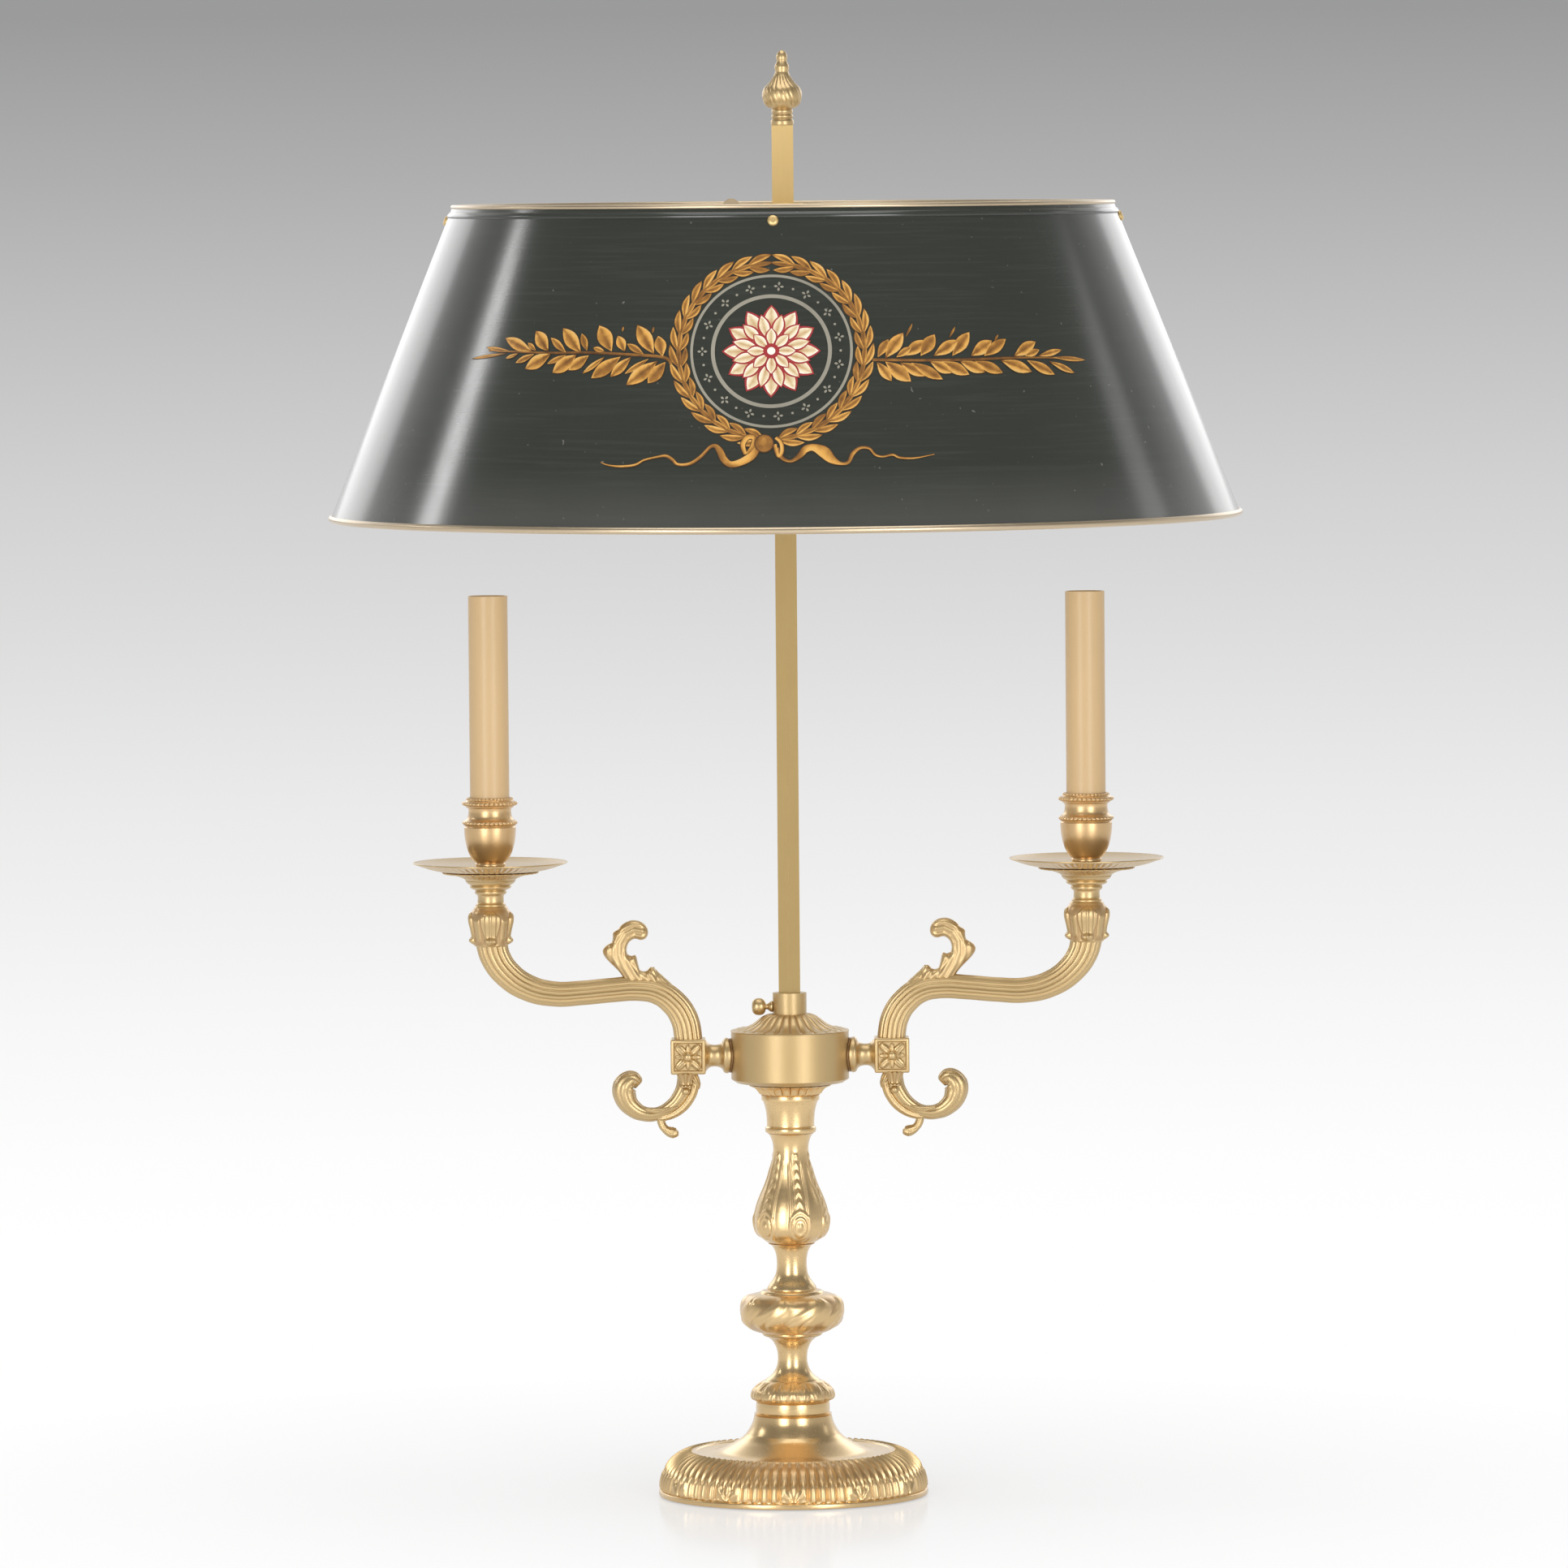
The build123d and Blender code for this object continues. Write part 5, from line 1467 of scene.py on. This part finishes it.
# rounds of petals in the rosette: count, inner and outer radius, width, share of a petal turned, lift
PETALS = (
    (12, 9.0, 25.5, 8.6, 0.0, 0.0), (12, 7.0, 21.0, 6.4, 0.5, 0.1), (8, 2.5, 13.0, 6.0, 0.0, 0.2),
)


class LAMP_OT_wreath(Operator):
    """Paint the laurel wreath and the two laurel branches on the shade"""

    bl_idname = "lamp.wreath"
    bl_label = "Wreath and branches"

    def execute(self, context):
        lift = sizes().paint_lift / MM
        wreath = Painting("painted_wreath", "leaf")
        bunches = sizes().wreath_bunches
        for side in (-1, 1):
            for n in range(bunches):
                start = radians(86 - n * 171.5 / bunches)
                level = lift + 0.012 * (n % 2)
                base = (side * WREATH_RADIUS * cos(start), WREATH_RADIUS * sin(start))
                shade = (0.0, -0.12, 0.04, -0.2)[(n + (side > 0)) % 4]
                for outward, wide, light, step, bow, above in WREATH_LEAVES:
                    reach = WREATH_RADIUS + outward
                    tip_turn = start - radians(step)
                    tip = (side * reach * cos(tip_turn), reach * sin(tip_turn))
                    wreath.leaf(base, tip, wide, level + above, light + shade, 0.35, bow * side)
        wreath.make()

        branches = Painting("painted_branches", "leaf")
        branches.ribbon(LEFT_STEM, lift, edge=0.2)
        branches.ribbon(RIGHT_STEM, lift, edge=0.2)
        for n, (x0, y0, x1, y1, width) in enumerate(LEFT_BRANCH + RIGHT_BRANCH, 1):
            level = lift + 0.05 + 0.012 * (n % 3)
            light = (1.0, 0.86, 0.95, 0.74)[n % 4]
            branches.leaf((x0, y0), (x1, y1), width * 1.12, level, light, 0.3)
        for base, tip in SPRIGS:
            branches.leaf(base, tip, 1.2, lift, 0.6, 0.15)
        branches.make()
        return {"FINISHED"}


class LAMP_OT_ribbon(Operator):
    """Paint the ribbon, its knot and its tails under the wreath"""

    bl_idname = "lamp.ribbon"
    bl_label = "Ribbon"

    def execute(self, context):
        lift = sizes().paint_lift / MM + 0.1
        ribbon = Painting("painted_ribbon", "leaf")
        ribbon.ribbon(LEFT_TAIL, lift)
        ribbon.ribbon(RIGHT_TAIL, lift)
        ribbon.ribbon(LEFT_LOOP, lift + 0.02)
        ribbon.ribbon(RIGHT_LOOP, lift + 0.02)
        ribbon.spot(KNOT, 5.3, lift + 0.14, 0.0, 28)
        ribbon.spot(KNOT, 4.7, lift + 0.2, 0.34, 28)
        ribbon.spot((-4.6, 51.8), 2.4, lift + 0.26, 0.43, 20)
        ribbon.make()
        return {"FINISHED"}


class LAMP_OT_medallion(Operator):
    """Paint the two rings, the border of crosses and dots and the rosette inside the wreath"""

    bl_idname = "lamp.medallion"
    bl_label = "Medallion"

    def execute(self, context):
        lift = sizes().paint_lift / MM
        rings = Painting("painted_rings", "grey")
        rings.ring(*OUTER_RING, lift + 0.05)
        rings.ring(*INNER_RING, lift + 0.05)
        for n in range(BORDER_COUNT):
            angle = tau * (n + 0.5) / BORDER_COUNT
            x, y = BORDER_RADIUS * cos(angle), BORDER_RADIUS * sin(angle)
            for m in range(4):
                petal = angle + m * pi / 2
                base = (x + 0.5 * cos(petal), y + 0.5 * sin(petal))
                tip = (x + 2.7 * cos(petal), y + 2.7 * sin(petal))
                rings.leaf(base, tip, 1.3, lift, 1.0, 0.0)
            middle = tau * n / BORDER_COUNT
            rings.spot((BORDER_RADIUS * cos(middle), BORDER_RADIUS * sin(middle)), 0.7, lift + 0.05)
        rings.make()

        back = Painting("painted_rosette_shadow", "red")
        front = Painting("painted_rosette", "cream")
        for count, inner, outer, width, turned, above in PETALS:
            for n in range(count):
                angle = tau * (n + turned) / count
                way = (cos(angle), sin(angle))
                base = (inner * way[0], inner * way[1])
                tip = (outer * way[0], outer * way[1])
                back_base = (base[0] * 0.8, base[1] * 0.8)
                back_tip = (tip[0] * 1.045, tip[1] * 1.045)
                back.leaf(back_base, back_tip, width * 1.16, lift + above, 1.0, 0.0)
                front.leaf(base, tip, width * 0.84, lift + above + 0.04, 1.0, 0.0)
        back.spot((0, 0), 4.4, lift + 0.34)
        front.spot((0, 0), 2.2, lift + 0.4)
        back.make()
        front.make()
        return {"FINISHED"}


HEM_Z = 718.3  # mm
# section of the hem, from its lower to its upper edge: up, out
HEM_SECTION = (
    (-1.75, -0.3), (-1.65, 0.15), (-1.35, 0.5), (-0.8, 0.73), (-0.25, 0.92), (0.1, 0.9), (0.7, 0.68),
    (1.3, 0.44), (1.6, 0.3), (1.7, -0.3),
)


class LAMP_OT_hem(Operator):
    """Roll the hem that runs round the shade just under its upper rim"""

    bl_idname = "lamp.hem"
    bl_label = "Shade hem"

    def execute(self, context):
        low_r, low_z, top_r, top_z = shade_cone()
        slope = (low_r - top_r) / (top_z - low_z)
        line = [(top_r + slope * (top_z - HEM_Z - up) + out, HEM_Z + up) for up, out in HEM_SECTION]
        hem = turn("hem", [*line, line[0]], 360)
        cut_away(hem, lambda face: len(face.vertices) > 4)
        finish_piece(polish(mend(hem), 60), "shade_hem", "shade", "shade_paint", finish("shade"))
        return {"FINISHED"}


# ------------------------------------------------------------------ stage
# soft lamps: name, place, height looked at, width, height, power
SOFTBOXES = (
    ("left_softbox", (-1.05, -2.0, 0.66), 0.5, 0.8, 1.25, 14),
    ("right_softbox", (1.05, -2.0, 0.66), 0.5, 0.8, 1.25, 14),
    ("left_panel", (-2.2, 0.55, 1.54), 0.6, 0.26, 0.4, 2.7),
    ("right_panel", (2.2, 0.75, 1.30), 0.6, 0.35, 0.6, 0.8),
    ("left_back_panel", (-1.20, 2.20, 1.12), 0.6, 1.55, 0.8, 4.3),
    ("right_back_panel", (1.10, 2.25, 1.12), 0.6, 1.35, 0.8, 3.7),
    ("overhead", (0, -0.2, 2.6), 0.3, 1.8, 1.8, 18),
)
CAMERA_PLACE = (-0.003, -5.93, 0.753)
CAMERA_TARGET = (-0.0021, 0, 0.3992)
CAMERA_ROLL = radians(-0.48)
CAMERA_LENS = 243.96
FLOOR_RADIUS = 0.9
FLOOR_DROP = 0.1 * MM  # keeps the floor clear of the felt
FLOOR_GROWTH = (5.0, 5.0, 5.0, 4.0)  # each ring of the floor reaches so many times further than the last
# grey of the floor by its share of the way to the horizon, the two ends first
FLOOR_FADE = (
    (0.2, 1.0), (1.0, 0.41), (0.256, 0.985), (0.358, 0.93), (0.442, 0.871), (0.508, 0.831), (0.568, 0.783),
    (0.659, 0.708), (0.75, 0.638), (0.84, 0.558), (0.931, 0.474),
)


def look_at(obj, target, roll=0.0):
    """Point an object's -Z at a target, and roll it about its line of sight."""
    way = (Vector(target) - obj.location).to_track_quat("-Z", "Y").to_matrix().to_4x4()
    obj.matrix_world = Matrix.Translation(obj.location) @ way @ Matrix.Rotation(roll, 4, "Z")


def softbox(name, place, aim, width, height, power):
    """A soft rectangular lamp that looks at the axis at the height of its aim."""
    deselect()
    bpy.ops.object.light_add(type="AREA", location=place)
    lamp = bpy.context.object
    lamp.name = name
    lamp.data.shape = "RECTANGLE"
    lamp.data.size = width
    lamp.data.size_y = height
    lamp.data.energy = power
    lamp.visible_camera = False
    look_at(lamp, (0, 0, aim))


class LAMP_OT_stage(Operator):
    """Set up the floor, the soft lamps, the surroundings and the camera"""

    bl_idname = "lamp.stage"
    bl_label = "Stage"

    def execute(self, context):
        scene = context.scene
        self.floor()
        self.surroundings(scene)
        for row in SOFTBOXES:
            softbox(*row)
        camera_data = bpy.data.cameras.new("camera")
        camera = bpy.data.objects.new("camera", camera_data)
        scene.collection.objects.link(camera)
        camera_data.sensor_width = 36.0
        camera_data.lens = CAMERA_LENS
        camera_data.clip_end = 1000.0
        camera.location = CAMERA_PLACE
        look_at(camera, CAMERA_TARGET, CAMERA_ROLL)
        scene.camera = camera
        scene.view_settings.view_transform = "Standard"
        return {"FINISHED"}

    def floor(self):
        """A round floor that reaches to the horizon."""
        deselect()
        bpy.ops.mesh.primitive_circle_add(
            vertices=96, radius=FLOOR_RADIUS, fill_type="NGON", location=(0, 0, -FLOOR_DROP)
        )
        floor = bpy.context.object
        floor.name = "floor"
        bpy.ops.object.mode_set(mode="EDIT")
        for times in FLOOR_GROWTH:
            bpy.ops.mesh.extrude_edges_move()
            bpy.ops.transform.resize(value=(times, times, 1))
        leave_edit()
        floor.data.materials.append(self.floor_finish())

    def floor_finish(self):
        """White near the lamp, where it takes the shadow, and fading to the grey of the surroundings."""
        material, tree, shader, place = new_finish("floor")
        shader.inputs["Base Color"].default_value = (0.9, 0.9, 0.9, 1)
        shader.inputs["Roughness"].default_value = 0.14
        shader.inputs["Specular IOR Level"].default_value = 0.1
        away = put(tree, "ShaderNodeVectorMath", {0: place}, operation="LENGTH").outputs["Value"]
        to_horizon = maths(tree, "DIVIDE", away, maths(tree, "ADD", away, 6.0))
        ramp = put(tree, "ShaderNodeValToRGB", {"Fac": to_horizon})
        run_through(ramp, [(position, (grey, grey, grey)) for position, grey in FLOOR_FADE])
        glow = put(tree, "ShaderNodeEmission", {"Color": ramp.outputs["Color"], "Strength": 1.0}).outputs[0]
        path = put(tree, "ShaderNodeLightPath").outputs
        seen = maths(tree, "MULTIPLY", spread(tree, away, (0.1, 0.6), (0.5, 1.0)), path["Is Camera Ray"])
        in_mirror = maths(tree, "MULTIPLY", spread(tree, away, (1.6, 2.6)), path["Is Glossy Ray"])
        share = maths(tree, "MAXIMUM", seen, in_mirror)
        mix = put(tree, "ShaderNodeMixShader", {0: share, 1: shader.outputs["BSDF"], 2: glow})
        output = next(node for node in tree.nodes if node.type == "OUTPUT_MATERIAL")
        tree.links.new(mix.outputs[0], output.inputs["Surface"])
        return material

    def surroundings(self, scene):
        """Even light for the object; a grey backdrop that the camera and polished metal see."""
        world = bpy.data.worlds.new("surroundings")
        world.use_nodes = True
        scene.world = world
        tree = world.node_tree
        tree.nodes.clear()
        way = parts_of(tree, put(tree, "ShaderNodeTexCoord").outputs["Generated"])
        up = way["Z"]
        behind = spread(tree, way["Y"], (0.45, 0.8))
        front_tone = spread(tree, up, (0.15, 0.55), (0.5, 0.18))
        back_tone = spread(tree, up, (0.6, 0.95), (0.85, 0.35))
        mirror_tone = put(tree, "ShaderNodeMix", {0: behind, 2: front_tone, 3: back_tone}).outputs[0]
        below = spread(tree, up, (-0.0175, 0.0), (0.516, 0.413))
        above = spread(tree, up, (0.0, 0.0128), (0.0, 0.085))
        haze = maths(tree, "SUBTRACT", below, above)  # leaves no sharp line where the floor ends
        plain, mirror, seen = (
            put(tree, "ShaderNodeBackground", {"Color": (1, 1, 1, 1), "Strength": strength}).outputs[0]
            for strength in (0.55, mirror_tone, haze)
        )
        path = put(tree, "ShaderNodeLightPath").outputs
        first = put(tree, "ShaderNodeMixShader", {0: path["Is Glossy Ray"], 1: plain, 2: mirror}).outputs[0]
        last = put(tree, "ShaderNodeMixShader", {0: path["Is Camera Ray"], 1: first, 2: seen}).outputs[0]
        put(tree, "ShaderNodeOutputWorld", {"Surface": last})


# ------------------------------------------------------------------ add-on
STEPS = (
    LAMP_OT_finishes, LAMP_OT_foot, LAMP_OT_stem, LAMP_OT_drum_cover, LAMP_OT_finial, LAMP_OT_thumb_screw,
    LAMP_OT_arms, LAMP_OT_calyxes, LAMP_OT_saucers, LAMP_OT_dishes, LAMP_OT_cups, LAMP_OT_washers,
    LAMP_OT_hem, LAMP_OT_wreath, LAMP_OT_ribbon, LAMP_OT_medallion, LAMP_OT_stage,
)


class LAMP_PT_panel(Panel):
    """Lists the lamp's pieces, sizes and colours"""

    bl_idname = "LAMP_PT_panel"
    bl_label = "Table lamp"
    bl_space_type = "VIEW_3D"
    bl_region_type = "UI"
    bl_category = "Lamp"

    def draw(self, context):
        for group in (context.scene.lamp_sizes, context.scene.lamp_colours):
            for name in group.__annotations__:
                self.layout.prop(group, name)
        for step in STEPS:
            self.layout.operator(step.bl_idname)


def register():
    for made in (LampSizes, LampColours, *STEPS, LAMP_PT_panel):
        bpy.utils.register_class(made)
    bpy.types.Scene.lamp_sizes = PointerProperty(type=LampSizes)
    bpy.types.Scene.lamp_colours = PointerProperty(type=LampColours)


def unregister():
    del bpy.types.Scene.lamp_colours
    del bpy.types.Scene.lamp_sizes
    for made in reversed((LampSizes, LampColours, *STEPS, LAMP_PT_panel)):
        bpy.utils.unregister_class(made)


def main():
    register()
    for step in STEPS:
        area, name = step.bl_idname.split(".")
        result = getattr(getattr(bpy.ops, area), name)()
        if result != {"FINISHED"}:
            raise RuntimeError(f"{step.bl_label} could not be made")
    deselect()


if __name__ == "__main__":
    main()
